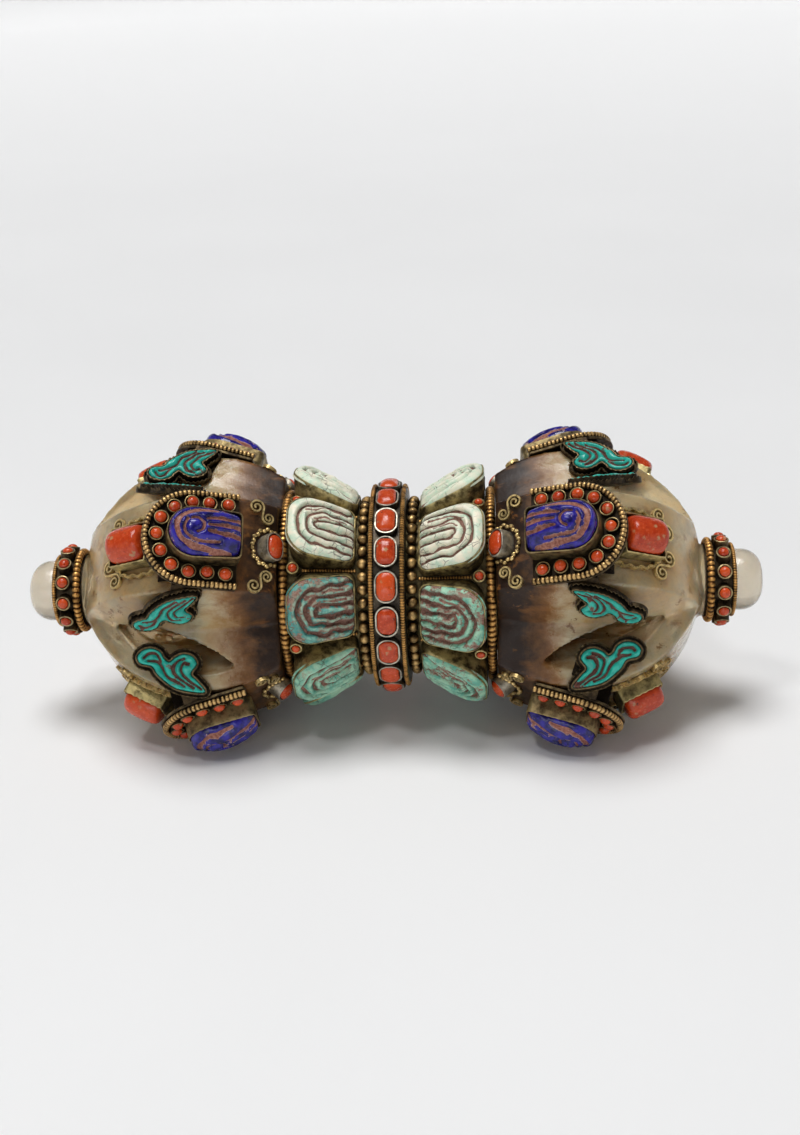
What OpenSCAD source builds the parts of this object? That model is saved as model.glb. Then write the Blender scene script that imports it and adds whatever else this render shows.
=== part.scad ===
// Two-ended rock crystal vajra with jewelled metal mounts, lying along X.
// Each half is described from the middle outwards along +X; the left half is its mirror image.

/* [Crystal] */
// Lengthwise radius of the four curved prong faces
bulb_r = 46; // [42:0.5:50]
// Depth of the middle of that radius below the axis
bulb_drop = 2.5; // [0:0.1:4]
// Half width of the bulb where its flat shoulder meets the lotus collar
shoulder_r = 35.2; // [32:0.1:38]
// Radius of the bottom of the V groove between two prongs
groove_bottom_r = 34; // [30:0.5:38]
// Angle of a groove face from the middle of the groove
groove_angle = 65; // [55:1:75]
// Lengthwise radius of the groove bottom
groove_sweep_r = 80; // [60:1:140]
// Length of the slot pierced in each groove
slot_len = 44; // [30:1:50]
// Width of the slot at its middle
slot_w = 10; // [8:0.5:14]
// Turn of the slots away from the groove bottoms
slot_turn = 11; // [0:1:14]
// Slant of the slots in their groove, lower at the hub
slot_slant = 12; // [0:1:15]
// Radius of the hollow inside the prongs
cavity_r = 27; // [22:0.5:29]
// Radius of the slender prong in the middle of the hollow
centre_prong_r = 5; // [3:0.5:8]
// Radius of the tenon inside the lotus collar
tenon_r = 22; // [18:0.5:23]
// Radius of the neck between bulb and end collar
neck_r = 12.8; // [12:0.1:15]
// Bare length of the neck
neck_len = 2.6; // [1:0.1:5]
// Radius of the finial
finial_r = 10.8; // [9:0.1:12]
// Length of the finial past the end collar
finial_len = 9.8; // [8:0.1:14]
// Rounding of the finial's nose
finial_round = 7.2; // [3:0.1:8]

/* [Waist] */
// Wall of the sleeve that joins both halves
sleeve_wall = 2; // [1:0.1:2.4]
// Radius of the pin between the two tenons
pin_r = 4; // [3:0.1:6]
// Length of the pin
pin_len = 44; // [30:1:60]

/* [Girdle] */
// Width of the girdle along the axis
girdle_w = 12.4; // [11:0.1:16]
// Outer radius of the girdle band
girdle_r = 34.3; // [31:0.1:38]
// Thickness of the girdle's sheet
girdle_sheet = 1.2; // [0.8:0.1:2]
// Diameter of the girdle's beaded wires
girdle_wire_d = 1.65; // [1.2:0.05:1.8]
// Number of oval corals round the girdle
girdle_count = 19; // [15:1:20]
// Width of an oval girdle coral along the axis
girdle_coral_w = 6.6; // [5:0.1:7]
// Height of a girdle bezel above the band
girdle_bezel_h = 2.4; // [1.5:0.1:4]
// Height of a girdle coral above its bezel
girdle_coral_rise = 1.5; // [0.8:0.1:3]

/* [Lotus collar] */
// Length of the collar from girdle to bulb shoulder
lotus_len = 30.8; // [28:0.1:36]
// Radius of the collar at the girdle
lotus_r_in = 27.4; // [26.5:0.1:29]
// Radius of the collar at the hub wire
lotus_r_out = 31; // [30:0.1:33]
// Number of petals on each side
petal_count = 8; // [6:1:10]
// Turn of the left lotus
left_lotus_turn = -12; // [-22:1:22]
// Turn of the right lotus
right_lotus_turn = -6; // [-22:1:22]
// Slope of the petal faces
petal_slope = 27; // [20:1:32]
// Radius of the middle of the petal bezels' rim
petal_rim_r = 36.4; // [35.5:0.1:39]
// Height of the crown of a petal stone above its rim
petal_crown = 2.8; // [0.8:0.1:3.6]
// Depth of the grooves carved in a petal stone
petal_cut = 0.9; // [0.4:0.1:1.2]
// Number of nested hairpin grooves in a petal stone
petal_cut_count = 3; // [1:1:3]
// Corner radius of a petal at the hub wire
petal_corner = 8; // [7.5:0.1:9]
// Diameter of the granules beside the girdle
granule_d = 4; // [3:0.1:4.2]
// Number of granules in a ring
granule_count = 42; // [36:1:44]
// Diameter of the straight wires between petals
divider_d = 1.2; // [0.8:0.1:1.3]
// Diameter of the beaded hub wire
hub_wire_d = 3.4; // [2.5:0.1:3.6]
// Outer diameter of the collets between petals
stud_d = 4.2; // [3.6:0.1:4.4]
// Radius to the rim of these collets
stud_rim_r = 37; // [35:0.1:39]

/* [Hub clasps] */
// Distance of the clasps' seat from the bulb's shoulder
clasp_set = 2.5; // [1.5:0.1:4]
// Tilt of the clasps towards the girdle
clasp_tilt = 50; // [45:1:54]
// Length of a clasp coral across the prong
clasp_coral_l = 8.6; // [7:0.1:10]
// Width of a clasp coral
clasp_coral_w = 6.2; // [5:0.1:6.4]
// Height of the clasp bezel's rim above the seat
clasp_rim = 3.6; // [2.5:0.1:4]
// Height of a clasp coral above its rim
clasp_rise = 1.4; // [0.8:0.1:2]

/* [End collar] */
// Length of the end collar
collar_len = 10.6; // [10:0.1:14]
// Thickness of the collar's band at the finial
collar_sheet = 0.6; // [0.5:0.1:1.2]
// Flare of the collar towards the neck
collar_flare = 1; // [0:0.1:1.5]
// Diameter of the thick beaded wire at the neck
thick_wire_d = 2.7; // [2:0.1:2.9]
// Diameter of the thin beaded wire at the finial
thin_wire_d = 1.5; // [1.2:0.1:1.9]
// Number of corals round the collar
collar_count = 13; // [10:1:13]
// Outer diameter of the collar's collets
collar_collet_d = 5.2; // [4.6:0.1:5.3]
// Radius to the rim of these collets
collar_rim_r = 15.6; // [14.6:0.1:17]

/* [Plaques] */
// Tilt of the plaques, raised towards the tip
plaque_tilt = 17; // [10:1:22]
// Distance from the bulb's tangent point to the middle of the plaque's round end
plaque_x = 14.7; // [13.5:0.1:16]
// Radius of the plaque's round end
plaque_r = 17.1; // [16.6:0.1:18]
// Length of the plaque's straight sides
plaque_straight = 15.2; // [14:0.1:18]
// Thickness of the plaque's sheet
plaque_sheet = 1.2; // [0.8:0.1:2]
// Least thickness of the cement under the plaque
bed_min = 0.4; // [0.2:0.1:1]
// Half width of a lapis stone
lapis_r = 8.9; // [8:0.1:9]
// Half width of a lapis stone's straight end
lapis_end = 7.6; // [7:0.1:8.5]
// Set-back of the lapis stone's round end from the plaque's
lapis_back = 0.3; // [0:0.1:2]
// Height of the lapis bezel above the plate
lapis_bezel_h = 7; // [4:0.1:9]
// Height of the lapis crown above its bezel
lapis_rise = 6; // [4:0.1:8]
// Number of corals in the horseshoe
horseshoe_count = 11; // [9:1:11]
// Radius of the horseshoe through the corals
horseshoe_r = 12.3; // [12.2:0.1:12.8]
// Straight run of the horseshoe to its last coral
horseshoe_run = 11.2; // [9:0.1:13]
// Outer diameter of the horseshoe's collets
horseshoe_collet_d = 5; // [4.4:0.1:5.1]
// Height of the horseshoe's collets above the plate
horseshoe_collet_h = 2.4; // [1.6:0.1:4]
// Diameter of the plaque's beaded border wire
border_wire_d = 2.2; // [1.6:0.1:2.2]

/* [Wings] */
// Fold of the wings down from the plaque
wing_fold = 70; // [62:1:74]
// Turn of the wings in their own plane
wing_turn = 16; // [10:1:22]
// Place of the wings' tails behind the plaque's round end
wing_back = 1.6; // [0.5:0.1:4]
// Length of a wing stone
wing_len = 22.8; // [19:0.1:23.5]
// Thickness of a wing bezel
wing_bezel_t = 2.6; // [2:0.1:3]
// Height of a wing stone above its bezel
wing_rise = 0.6; // [0.5:0.1:1.4]

/* [Barrel corals] */
// Angle on the bulb of the barrel corals, towards the tip
barrel_seat = 26.5; // [26:0.5:30]
// Length of a barrel coral along the prong
barrel_len = 14; // [11:0.1:14.4]
// Diameter of a barrel coral
barrel_d = 13; // [11:0.1:15]
// Height of the barrel bezel above the prong
barrel_bezel_h = 6; // [4:0.1:8]
// Height of a barrel coral above its bezel
barrel_rise = 4.6; // [2:0.1:5]

/* [Scroll wires] */
// Diameter of the scroll wire
scroll_wire_d = 0.9; // [0.6:0.1:1.4]
// Outer radius of a scroll
scroll_r = 2.6; // [2:0.1:3.2]
// Angle on the bulb of the scrolls beyond the barrel corals
tip_scroll_seat = 41.5; // [41:0.5:44]
// Distance of the tip scrolls from the middle of the prong
tip_scroll_side = 4; // [3.4:0.1:6]
// Distance of the hub scrolls from the middle of the prong
hub_scroll_side = 10; // [9:0.1:12]

/* [Settings] */
// Thickness of the bezel walls
bezel_wall = 0.6; // [0.4:0.05:0.8]
// Clearance between pieces that fit into each other
fit = 0.05; // [0.03:0.01:0.1]

/* [Hidden] */
$fn = 96;
FINE = 240;
PRONGS = [["upper_front", 45], ["upper_back", -45], ["lower_back", -135], ["lower_front", 135]];
SIDES = ["left", "right"];
SIDE_NODES = [
    "crystal", "lotus_collar", "petal_bezels", "petal_stones", "divider_wires", "stud_corals",
    "granule_ring", "hub_wire", "clasp_bezels", "clasp_corals", "end_collar", "end_wires",
    "end_corals", "cement_beds", "border_wires", "lapis_stones", "horseshoe_corals",
    "barrel_bezels", "barrel_corals", "wing_bezels", "wing_stones", "scrolls"
];

// Places along the axis, from the middle outwards
girdle_end = girdle_w / 2;
lotus_start = girdle_end + fit;
lotus_end = girdle_end + lotus_len;
shoulder_x = lotus_end + fit;
bulb_x = shoulder_x + sqrt(pow(bulb_r, 2) - pow(shoulder_r + bulb_drop, 2));
neck_end = bulb_x + sqrt(pow(bulb_r, 2) - pow(neck_r + bulb_drop, 2)) + neck_len;
collar_start = neck_end + fit;
collar_end = collar_start + collar_len;
tip_x = collar_end + finial_len;
cavity_shift = 12.5;
cavity_x = bulb_x + cavity_shift;
groove_over = 2.5;
slot_shift = 10;
slot_x = bulb_x + slot_shift;
slot_floor_r = 11;
reach = 1.6 * bulb_r;
wire_gap = 0.1;

// Waist
tenon_gap = 0.25;
sleeve_in_r = tenon_r + fit;
sleeve_r = sleeve_in_r + sleeve_wall;
sleeve_bore_r = sleeve_r + fit;
pin_end_gap = 0.5;

// Lotus collar
granule_x = lotus_start + granule_d / 2 + wire_gap;
hub_wire_x = lotus_end - hub_wire_d / 2 - fit;
hub_wire_start = hub_wire_x - hub_wire_d / 2;
petal_end_gap = 0.3;
petal_start = granule_x + granule_d / 2 + petal_end_gap;
petal_end = hub_wire_start - petal_end_gap;
petal_mid = (petal_start + petal_end) / 2;
petal_gap = divider_d + 2 * wire_gap;
petal_pocket = 2.2;
petal_root = 2;
petal_block = 24;
petal_start_corner = 4;
petal_dome_r = 36;
petal_cut_r = 1.2;
petal_cut_tip = 9.2;
petal_cut_half = 7.9;
petal_cut_step = 3.1;
petal_cut_sweep = 40;
petal_cut_land = 0.5;
stud_x = hub_wire_start - stud_d / 2 - wire_gap;
stud_wall = 0.6;
stud_floor_r = lotus_r_out + 2;
stud_rise = 0.8;
sector = 180 / petal_count;
function lotus_r(x) =
    lotus_r_in + (lotus_r_out - lotus_r_in) * (x - lotus_start) / (hub_wire_start - lotus_start);

// Girdle
girdle_wire_x = girdle_end - girdle_wire_d / 2 - wire_gap;
girdle_pitch = 2 * girdle_r * tan(180 / girdle_count);
girdle_bezel_gap = 0.3;
girdle_bezel_l = girdle_pitch - girdle_bezel_gap;
girdle_bezel_root = 0.5;
girdle_floor = 0.8;
girdle_coral_l = girdle_bezel_l - 2 * bezel_wall - 2 * fit;

// End collar
seat_step = 0.2;
seat_r = finial_r - seat_step;
collar_in_r = finial_r + fit;
collar_r = collar_in_r + collar_sheet;
function collar_at(x) = collar_r + collar_flare * (collar_end - x) / collar_len;
thick_wire_x = collar_start + thick_wire_d / 2 + 2 * wire_gap;
thin_wire_x = collar_end - thin_wire_d / 2 - wire_gap;
collar_coral_x = (thick_wire_x + thick_wire_d / 2 + thin_wire_x - thin_wire_d / 2) / 2;
collar_floor = 0.7;
collar_floor_r = collar_at(collar_coral_x) + collar_floor;
collar_coral_rise = 1.1;

// Hub clasps
clasp_seat = asin((bulb_x - shoulder_x - clasp_set) / bulb_r);
clasp_floor = 1.2;
clasp_root = 4;

// Plaques
lapis_x = -lapis_back;
lapis_len = plaque_straight - lapis_back;
horseshoe_bend = PI * horseshoe_r;
horseshoe_pitch = (horseshoe_bend + 2 * horseshoe_run) / (horseshoe_count - 1);
border_r = plaque_r - border_wire_d / 2;
bed_inset = 4;
bed_tip = 10;
collet_wall = 0.5;
collet_floor = 0.6;
horseshoe_rise = 1;
strap_x = 2.2;
strap_w = 5.5;
strap_len = 6.5;
strap_t = 1;
strap_bite = 0.4;

// Outline of a wing stone: tail at the start, large lobe, small lobe, back to the tail
WING = [
    [0, 2], [2.3, 5.4], [4.2, 7.7], [2.4, 10.6], [3.8, 13], [6.6, 13.7], [9.2, 12.6], [10.6, 11.4],
    [12.2, 12.4], [13.4, 14.4], [15.9, 15.6], [18.8, 15], [20.4, 13], [19.4, 11], [16, 10], [14.3, 7.5],
    [10.2, 4], [5.8, 2.4]
];
wing_scale = wing_len / max([for (point = WING) point[0]]);
wing_wall = 0.8;
wing_floor = 1;

// Barrel corals
barrel_floor = 1;
barrel_root = 2;

// Closed smooth curve through the points of an outline
function curve_point(a, b, c, d, t) =
    0.5 * (2 * b + (c - a) * t + (2 * a - 5 * b + 4 * c - d) * t * t + (3 * b - a - 3 * c + d) * t * t * t);
function smooth(points, steps = 2) =
    let (count = len(points))
    [for (i = [0 : count - 1]) for (k = [0 : steps - 1])
        curve_point(points[(i + count - 1) % count], points[i], points[(i + 1) % count],
            points[(i + 2) % count], k / steps)];

// Outline moved outwards by an even distance
function grown(points, distance) =
    let (count = len(points))
    [for (i = [0 : count - 1])
        let (along = points[(i + 1) % count] - points[(i + count - 1) % count])
        points[i] + distance * [-along[1], along[0]] / norm(along)];

// Points of a rounded corner at b on the way from a to c
function corner(a, b, c, radius, steps = 5) =
    let (
        back = (a - b) / norm(a - b),
        ahead = (c - b) / norm(c - b),
        half = acos(back * ahead) / 2,
        centre = b + (back + ahead) / norm(back + ahead) * radius / sin(half),
        from = b + back * radius / tan(half) - centre,
        start = atan2(from[1], from[0]),
        side = back[0] * ahead[1] - back[1] * ahead[0] > 0 ? -1 : 1
    )
    [for (i = [0 : steps]) centre + radius * [cos(start + side * (180 - 2 * half) * i / steps),
        sin(start + side * (180 - 2 * half) * i / steps)]];

module half(side) {
    if (side == "left") mirror([1, 0, 0]) children();
    else children();
}

module each_prong() {
    for (prong = PRONGS) rotate([prong[1], 0, 0]) children();
}

module along_x(x) {
    translate([x, 0, 0]) rotate([0, 90, 0]) children();
}

module rod(start, end, radius) {
    along_x(start) cylinder(h = end - start, r = radius);
}

module tube(start, end, outer, inner) {
    difference() {
        rod(start, end, outer);
        rod(start - 1, end + 1, inner);
    }
}

// Wire ring standing on a band of the given radius
module wire_ring(x, band_r, wire_d) {
    along_x(x) rotate_extrude() translate([band_r + fit + wire_d / 2, 0]) circle(d = wire_d);
}

// Oblong with round ends, longer in Y
module oblong(length, width) {
    square([width, length - width], center = true);
    for (end = [-1, 1]) translate([0, end * (length - width) / 2]) circle(d = width);
}

// Round stone with a domed top, standing on the ground plane
module cabochon(diameter, height) {
    dome_r = diameter * 0.62;
    intersection() {
        cylinder(h = height, d = diameter);
        translate([0, 0, height - dome_r]) sphere(r = dome_r);
    }
}

// Oblong stone with a crown across its width
module oblong_stone(length, width, height) {
    crown_r = width * 0.6;
    intersection() {
        linear_extrude(height) oblong(length, width);
        translate([0, -length / 2, height - crown_r]) rotate([-90, 0, 0]) cylinder(h = length, r = crown_r);
    }
}

// Frame on a prong face: X towards the tip along the face, Z out of it
module on_bulb(angle) {
    translate([bulb_x, 0, -bulb_drop]) rotate([0, angle, 0]) translate([0, 0, bulb_r]) children();
}

// Prong face as a solid that cuts what is seated on it
module bulb_face(extra) {
    translate([bulb_x, 0, -bulb_drop]) rotate([90, 0, 0])
        cylinder(h = 2 * reach, r = bulb_r + extra, center = true, $fn = FINE);
}

module crystal() {
    color([0.72, 0.68, 0.6, 0.7])
    difference() {
        union() {
            intersection() {
                rotate([45, 0, 0]) bulb_face(0);
                rotate([135, 0, 0]) bulb_face(0);
                rotate([-135, 0, 0]) bulb_face(0);
                rotate([-45, 0, 0]) bulb_face(0);
                rod(shoulder_x, bulb_x + bulb_r, reach);
            }
            rod(tenon_gap, shoulder_x + 1, tenon_r);
            rod(bulb_x + cavity_r, neck_end, neck_r);
            rod(neck_end - 1, collar_end, seat_r);
            finial();
        }
        for (turn = [0 : 90 : 270]) rotate([turn, 0, 0]) groove();
        for (turn = [0 : 90 : 270]) rotate([turn + slot_turn, 0, 0]) slot();
        difference() {
            translate([cavity_x, 0, 0]) sphere(r = cavity_r);
            rod(cavity_x - reach, cavity_x + reach, centre_prong_r);
        }
        rod(-1, pin_len / 2 + pin_end_gap, pin_r + fit);
    }
}

module finial() {
    length = tip_x - collar_end;
    along_x(collar_end) rotate_extrude() {
        square([finial_r, length - finial_round]);
        square([finial_r - finial_round, length]);
        translate([finial_r - finial_round, length - finial_round])
            intersection() {
                circle(r = finial_round);
                square(finial_round);
            }
    }
}

// V wheel swept lengthwise over the groove bottom
module groove() {
    depth = sqrt(2) * (bulb_r - bulb_drop) - groove_bottom_r + groove_over;
    sweep = 70;
    side = depth * tan(groove_angle);
    translate([bulb_x, 0, groove_bottom_r - groove_sweep_r]) rotate([90, 0, 0])
        rotate_extrude(angle = sweep, start = 90 - sweep / 2)
        polygon([[groove_sweep_r, 0], [groove_sweep_r + depth, -side], [groove_sweep_r + depth, side]]);
}

// Pointed slot from the hollow to the outside
module slot() {
    arc_r = (slot_len * slot_len + slot_w * slot_w) / (4 * slot_w);
    translate([slot_x, 0, slot_floor_r]) rotate(slot_slant) linear_extrude(reach)
        intersection() {
            translate([0, arc_r - slot_w / 2]) circle(r = arc_r);
            translate([0, slot_w / 2 - arc_r]) circle(r = arc_r);
        }
}

module waist_sleeve() {
    color([0.55, 0.35, 0.2]) tube(-lotus_end, lotus_end, sleeve_r, sleeve_in_r);
}

module waist_pin() {
    color([0.5, 0.45, 0.35]) rod(-pin_len / 2, pin_len / 2, pin_r);
}

module girdle_band() {
    color([0.45, 0.36, 0.2])
    difference() {
        tube(-girdle_end, girdle_end, girdle_r, sleeve_bore_r);
        rod(girdle_sheet - girdle_end, girdle_end - girdle_sheet, girdle_r - girdle_sheet);
    }
}

module girdle_wires() {
    color([0.75, 0.58, 0.28])
    for (side = [-1, 1]) wire_ring(side * girdle_wire_x, girdle_r, girdle_wire_d);
}

module each_girdle_seat() {
    for (i = [0 : girdle_count - 1]) rotate([360 * (i + 0.5) / girdle_count, 0, 0])
        translate([0, 0, girdle_r]) children();
}

module girdle_bezels() {
    color([0.6, 0.57, 0.5])
    difference() {
        each_girdle_seat() difference() {
            translate([0, 0, -girdle_bezel_root]) linear_extrude(girdle_bezel_root + girdle_bezel_h)
                oblong(girdle_bezel_l, girdle_coral_w + 2 * bezel_wall + 2 * fit);
            translate([0, 0, girdle_floor]) linear_extrude(girdle_bezel_h)
                oblong(girdle_coral_l + 2 * fit, girdle_coral_w + 2 * fit);
        }
        rod(-girdle_w, girdle_w, girdle_r + fit, $fn = FINE);
    }
}

module girdle_corals() {
    color([0.82, 0.3, 0.18])
    each_girdle_seat() translate([0, 0, girdle_floor + fit])
        oblong_stone(girdle_coral_l, girdle_coral_w, girdle_bezel_h + girdle_coral_rise - girdle_floor);
}

// Solid inside the lotus collar's outer surface, used to seat pieces on it
module lotus_body(extra) {
    rotate([0, 90, 0]) rotate_extrude()
        polygon([[0, lotus_start], [lotus_r_in + extra, lotus_start], [lotus_r_out + extra, hub_wire_start],
            [lotus_r_out + extra, lotus_end], [0, lotus_end]]);
}

module each_petal(turn) {
    for (i = [0 : petal_count - 1]) rotate([turn + 2 * sector * i, 0, 0]) children();
}

module each_gap(turn) {
    each_petal(turn + sector) children();
}

module lotus_collar(turn) {
    color([0.5, 0.42, 0.24])
    difference() {
        union() {
            lotus_body(0);
            each_gap(turn) translate([stud_x, 0, lotus_r_in])
                cylinder(h = stud_rim_r - lotus_r_in, d = stud_d);
        }
        rod(0, lotus_end + 1, sleeve_bore_r);
        each_gap(turn) translate([stud_x, 0, stud_floor_r]) cylinder(h = reach, d = stud_d - 2 * stud_wall);
    }
}

module stud_corals(turn) {
    color([0.82, 0.3, 0.18])
    each_gap(turn) translate([stud_x, 0, stud_floor_r + fit])
        cabochon(stud_d - 2 * stud_wall - 2 * fit, stud_rim_r - stud_floor_r + stud_rise);
}

// Rounded petal outline along X, drawn in from the bezel's outer edge
module petal_outline(inset) {
    start = petal_start + inset;
    end = petal_end - inset;
    start_w = lotus_r(petal_start) * tan(sector) - petal_gap / 2 - inset;
    end_w = lotus_r(petal_end) * tan(sector) - petal_gap / 2 - inset;
    p = [[start, -start_w], [end, -end_w], [end, end_w], [start, start_w]];
    polygon(concat(
        corner(p[3], p[0], p[1], petal_start_corner - inset),
        corner(p[0], p[1], p[2], petal_corner - inset),
        corner(p[1], p[2], p[3], petal_corner - inset),
        corner(p[2], p[3], p[0], petal_start_corner - inset)
    ));
}

// Room of one petal between the middles of its gaps
module petal_wedge() {
    for (side = [0, 1]) mirror([0, side, 0]) rotate([-sector, 0, 0])
        translate([0, -petal_gap / 2, -reach]) cube([reach, reach, 2 * reach]);
}

// Frame on the sloping rim of a petal bezel
module petal_rim() {
    translate([petal_mid, 0, petal_rim_r]) rotate([0, -petal_slope, 0]) children();
}

module above_rim(height) {
    petal_rim() translate([-reach, -reach, height]) cube([2 * reach, 2 * reach, reach]);
}

module petal_bezels(turn) {
    color([0.46, 0.4, 0.25])
    each_petal(turn) difference() {
        translate([0, 0, lotus_r_in - petal_root]) linear_extrude(petal_block) petal_outline(0);
        above_rim(0);
        petal_wedge();
        intersection() {
            above_rim(-petal_pocket);
            linear_extrude(reach) petal_outline(bezel_wall);
        }
        lotus_body(fit);
    }
}

// Hairpin over a petal's dome: a bend at the hub and two legs towards the girdle, with a land between
module petal_groove(tip, half) {
    cut_r = petal_dome_r + petal_cut_r - petal_cut;
    level = sqrt(cut_r * cut_r - half * half);
    lean = asin((tip - half) / cut_r);
    land = atan2(petal_cut_land, half);
    rotate([0, lean, 0]) rotate(land - 90) rotate_extrude(angle = 180 - 2 * land)
        translate([half, level]) circle(r = petal_cut_r);
    for (side = [-1, 1]) rotate([90, lean, 0])
        rotate_extrude(angle = petal_cut_sweep, start = 90 + atan2(petal_cut_land, level))
        translate([level, side * half]) circle(r = petal_cut_r);
}

module petal_stones(turn) {
    color([0.5, 0.7, 0.6])
    each_petal(turn) difference() {
        intersection() {
            linear_extrude(reach) petal_outline(bezel_wall + fit);
            above_rim(fit - petal_pocket);
            petal_rim() translate([0, 0, petal_crown - petal_dome_r]) sphere(r = petal_dome_r);
        }
        petal_rim() translate([0, 0, petal_crown - petal_dome_r])
            for (i = [0 : petal_cut_count - 1])
                petal_groove(petal_cut_tip - i * petal_cut_step, petal_cut_half - i * petal_cut_step);
    }
}

module divider_wires(turn) {
    start = petal_start;
    end = stud_x - stud_d / 2 - petal_end_gap;
    slope = atan2(lotus_r(end) - lotus_r(start), end - start);
    color([0.7, 0.55, 0.28])
    each_gap(turn) translate([start, 0, lotus_r(start) + divider_d / 2 + fit]) rotate([0, 90 - slope, 0])
        cylinder(h = end - start, d = divider_d);
}

module granule_ring() {
    color([0.42, 0.36, 0.24])
    for (i = [0 : granule_count - 1]) rotate([360 * i / granule_count, 0, 0])
        translate([granule_x, 0, lotus_r(granule_x) + granule_d / 2 + 2 * fit]) sphere(d = granule_d);
}

module hub_wire() {
    color([0.72, 0.5, 0.25]) wire_ring(hub_wire_x, lotus_r_out, hub_wire_d);
}

// Frame of a hub clasp, Z out of its face
module clasp_frame() {
    on_bulb(-clasp_seat) rotate([0, clasp_seat - clasp_tilt, 0]) children();
}

module clasp_bezels() {
    color([0.66, 0.63, 0.56])
    each_prong() difference() {
        clasp_frame() difference() {
            translate([0, 0, -clasp_root]) linear_extrude(clasp_root + clasp_rim)
                oblong(clasp_coral_l + 2 * bezel_wall + 2 * fit, clasp_coral_w + 2 * bezel_wall + 2 * fit);
            translate([0, 0, clasp_floor]) linear_extrude(clasp_rim)
                oblong(clasp_coral_l + 2 * fit, clasp_coral_w + 2 * fit);
        }
        bulb_face(fit);
        rod(0, shoulder_x, lotus_r_out + hub_wire_d + 2 * fit);
    }
}

module clasp_corals() {
    color([0.82, 0.3, 0.18])
    each_prong() clasp_frame() translate([0, 0, clasp_floor + fit])
        oblong_stone(clasp_coral_l, clasp_coral_w, clasp_rim + clasp_rise - clasp_floor);
}

module each_collar_seat() {
    for (i = [0 : collar_count - 1]) rotate([360 * i / collar_count, 0, 0])
        translate([collar_coral_x, 0, 0]) children();
}

module end_collar() {
    color([0.4, 0.34, 0.24])
    difference() {
        union() {
            along_x(collar_start) cylinder(h = collar_len, r1 = collar_r + collar_flare, r2 = collar_r);
            each_collar_seat() cylinder(h = collar_rim_r, d = collar_collet_d);
        }
        rod(collar_start - 1, collar_end + 1, collar_in_r);
        each_collar_seat() translate([0, 0, collar_floor_r])
            cylinder(h = reach, d = collar_collet_d - 2 * bezel_wall);
    }
}

module end_wires() {
    color([0.75, 0.58, 0.28]) {
        wire_ring(thick_wire_x, collar_at(thick_wire_x), thick_wire_d);
        wire_ring(thin_wire_x, collar_at(thin_wire_x), thin_wire_d);
    }
}

module end_corals() {
    diameter = collar_collet_d - 2 * bezel_wall - 2 * fit;
    color([0.82, 0.3, 0.18])
    each_collar_seat() translate([0, 0, collar_floor_r + fit])
        cabochon(diameter, collar_rim_r - collar_floor_r + collar_coral_rise);
}

// Frame of a plaque: origin under the middle of its round end, X towards the tip
module plaque_frame() {
    on_bulb(-plaque_tilt) translate([plaque_x, 0, bed_min]) children();
}

// Outline with one round end towards +X and straight sides
module arch(radius, straight) {
    circle(r = radius);
    translate([-straight, -radius]) square([straight, 2 * radius]);
}

module lapis_outline(extra) {
    translate([lapis_x, 0]) {
        circle(r = lapis_r + extra);
        polygon([[0, lapis_r + extra], [0, -lapis_r - extra], [-lapis_len, -lapis_end - extra],
            [-lapis_len, lapis_end + extra]]);
    }
}

// Place of one coral on the horseshoe, counted from its middle
function horseshoe_place(i) =
    let (run = i * horseshoe_pitch, bend = horseshoe_bend / 2, past = abs(run) - bend)
    past < 0 ? horseshoe_r * [cos(run / horseshoe_r * 180 / PI), sin(run / horseshoe_r * 180 / PI)]
        : [-past, sign(run) * horseshoe_r];

module each_horseshoe_seat() {
    last = (horseshoe_count - 1) / 2;
    for (i = [-last : last]) translate(horseshoe_place(i)) children();
}

// Frame on the outer face of a wing strap: Y down the wing, Z out of it
module each_wing() {
    for (side = [0, 1]) mirror([0, side, 0])
        translate([-wing_back, plaque_r - strap_bite, plaque_sheet / 2])
        rotate([-wing_fold, 0, 0]) children();
}

module plaque() {
    color([0.47, 0.4, 0.25])
    plaque_frame() difference() {
        union() {
            linear_extrude(plaque_sheet) arch(plaque_r, plaque_straight);
            linear_extrude(plaque_sheet + lapis_bezel_h) lapis_outline(bezel_wall + fit);
            each_horseshoe_seat() cylinder(h = plaque_sheet + horseshoe_collet_h, d = horseshoe_collet_d);
            each_wing() translate([strap_x, 0, -strap_t]) cube([strap_w, strap_len, strap_t]);
        }
        translate([0, 0, plaque_sheet]) linear_extrude(reach) lapis_outline(fit);
        each_horseshoe_seat() translate([0, 0, plaque_sheet + collet_floor])
            cylinder(h = reach, d = horseshoe_collet_d - 2 * collet_wall);
    }
}

module cement_beds() {
    color([0.2, 0.15, 0.1])
    each_prong() difference() {
        plaque_frame() translate([0, 0, -reach / 3]) linear_extrude(reach / 3 - fit)
            translate([bed_inset - plaque_straight, bed_inset - plaque_r])
            square([plaque_straight - bed_inset + bed_tip, 2 * (plaque_r - bed_inset)]);
        bulb_face(fit);
    }
}

module border_wires() {
    height = plaque_sheet + border_wire_d / 2 + fit;
    color([0.7, 0.55, 0.28])
    each_prong() plaque_frame() translate([0, 0, height]) {
        rotate_extrude(angle = 180, start = -90) translate([border_r, 0]) circle(d = border_wire_d);
        for (side = [-1, 1]) translate([-plaque_straight, side * border_r, 0]) rotate([0, 90, 0])
            cylinder(h = plaque_straight, d = border_wire_d);
    }
}

module lapis_stones() {
    crown_r = 10.2;
    long_r = 30;
    crown_back = 2;
    top = plaque_sheet + lapis_bezel_h + lapis_rise;
    color([0.2, 0.2, 0.5])
    each_prong() plaque_frame() intersection() {
        translate([0, 0, plaque_sheet + fit]) linear_extrude(top) lapis_outline(0);
        translate([lapis_x - crown_back, 0, top - long_r]) rotate([90, 0, 0])
            rotate_extrude() translate([long_r - crown_r, 0]) circle(r = crown_r);
    }
}

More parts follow.
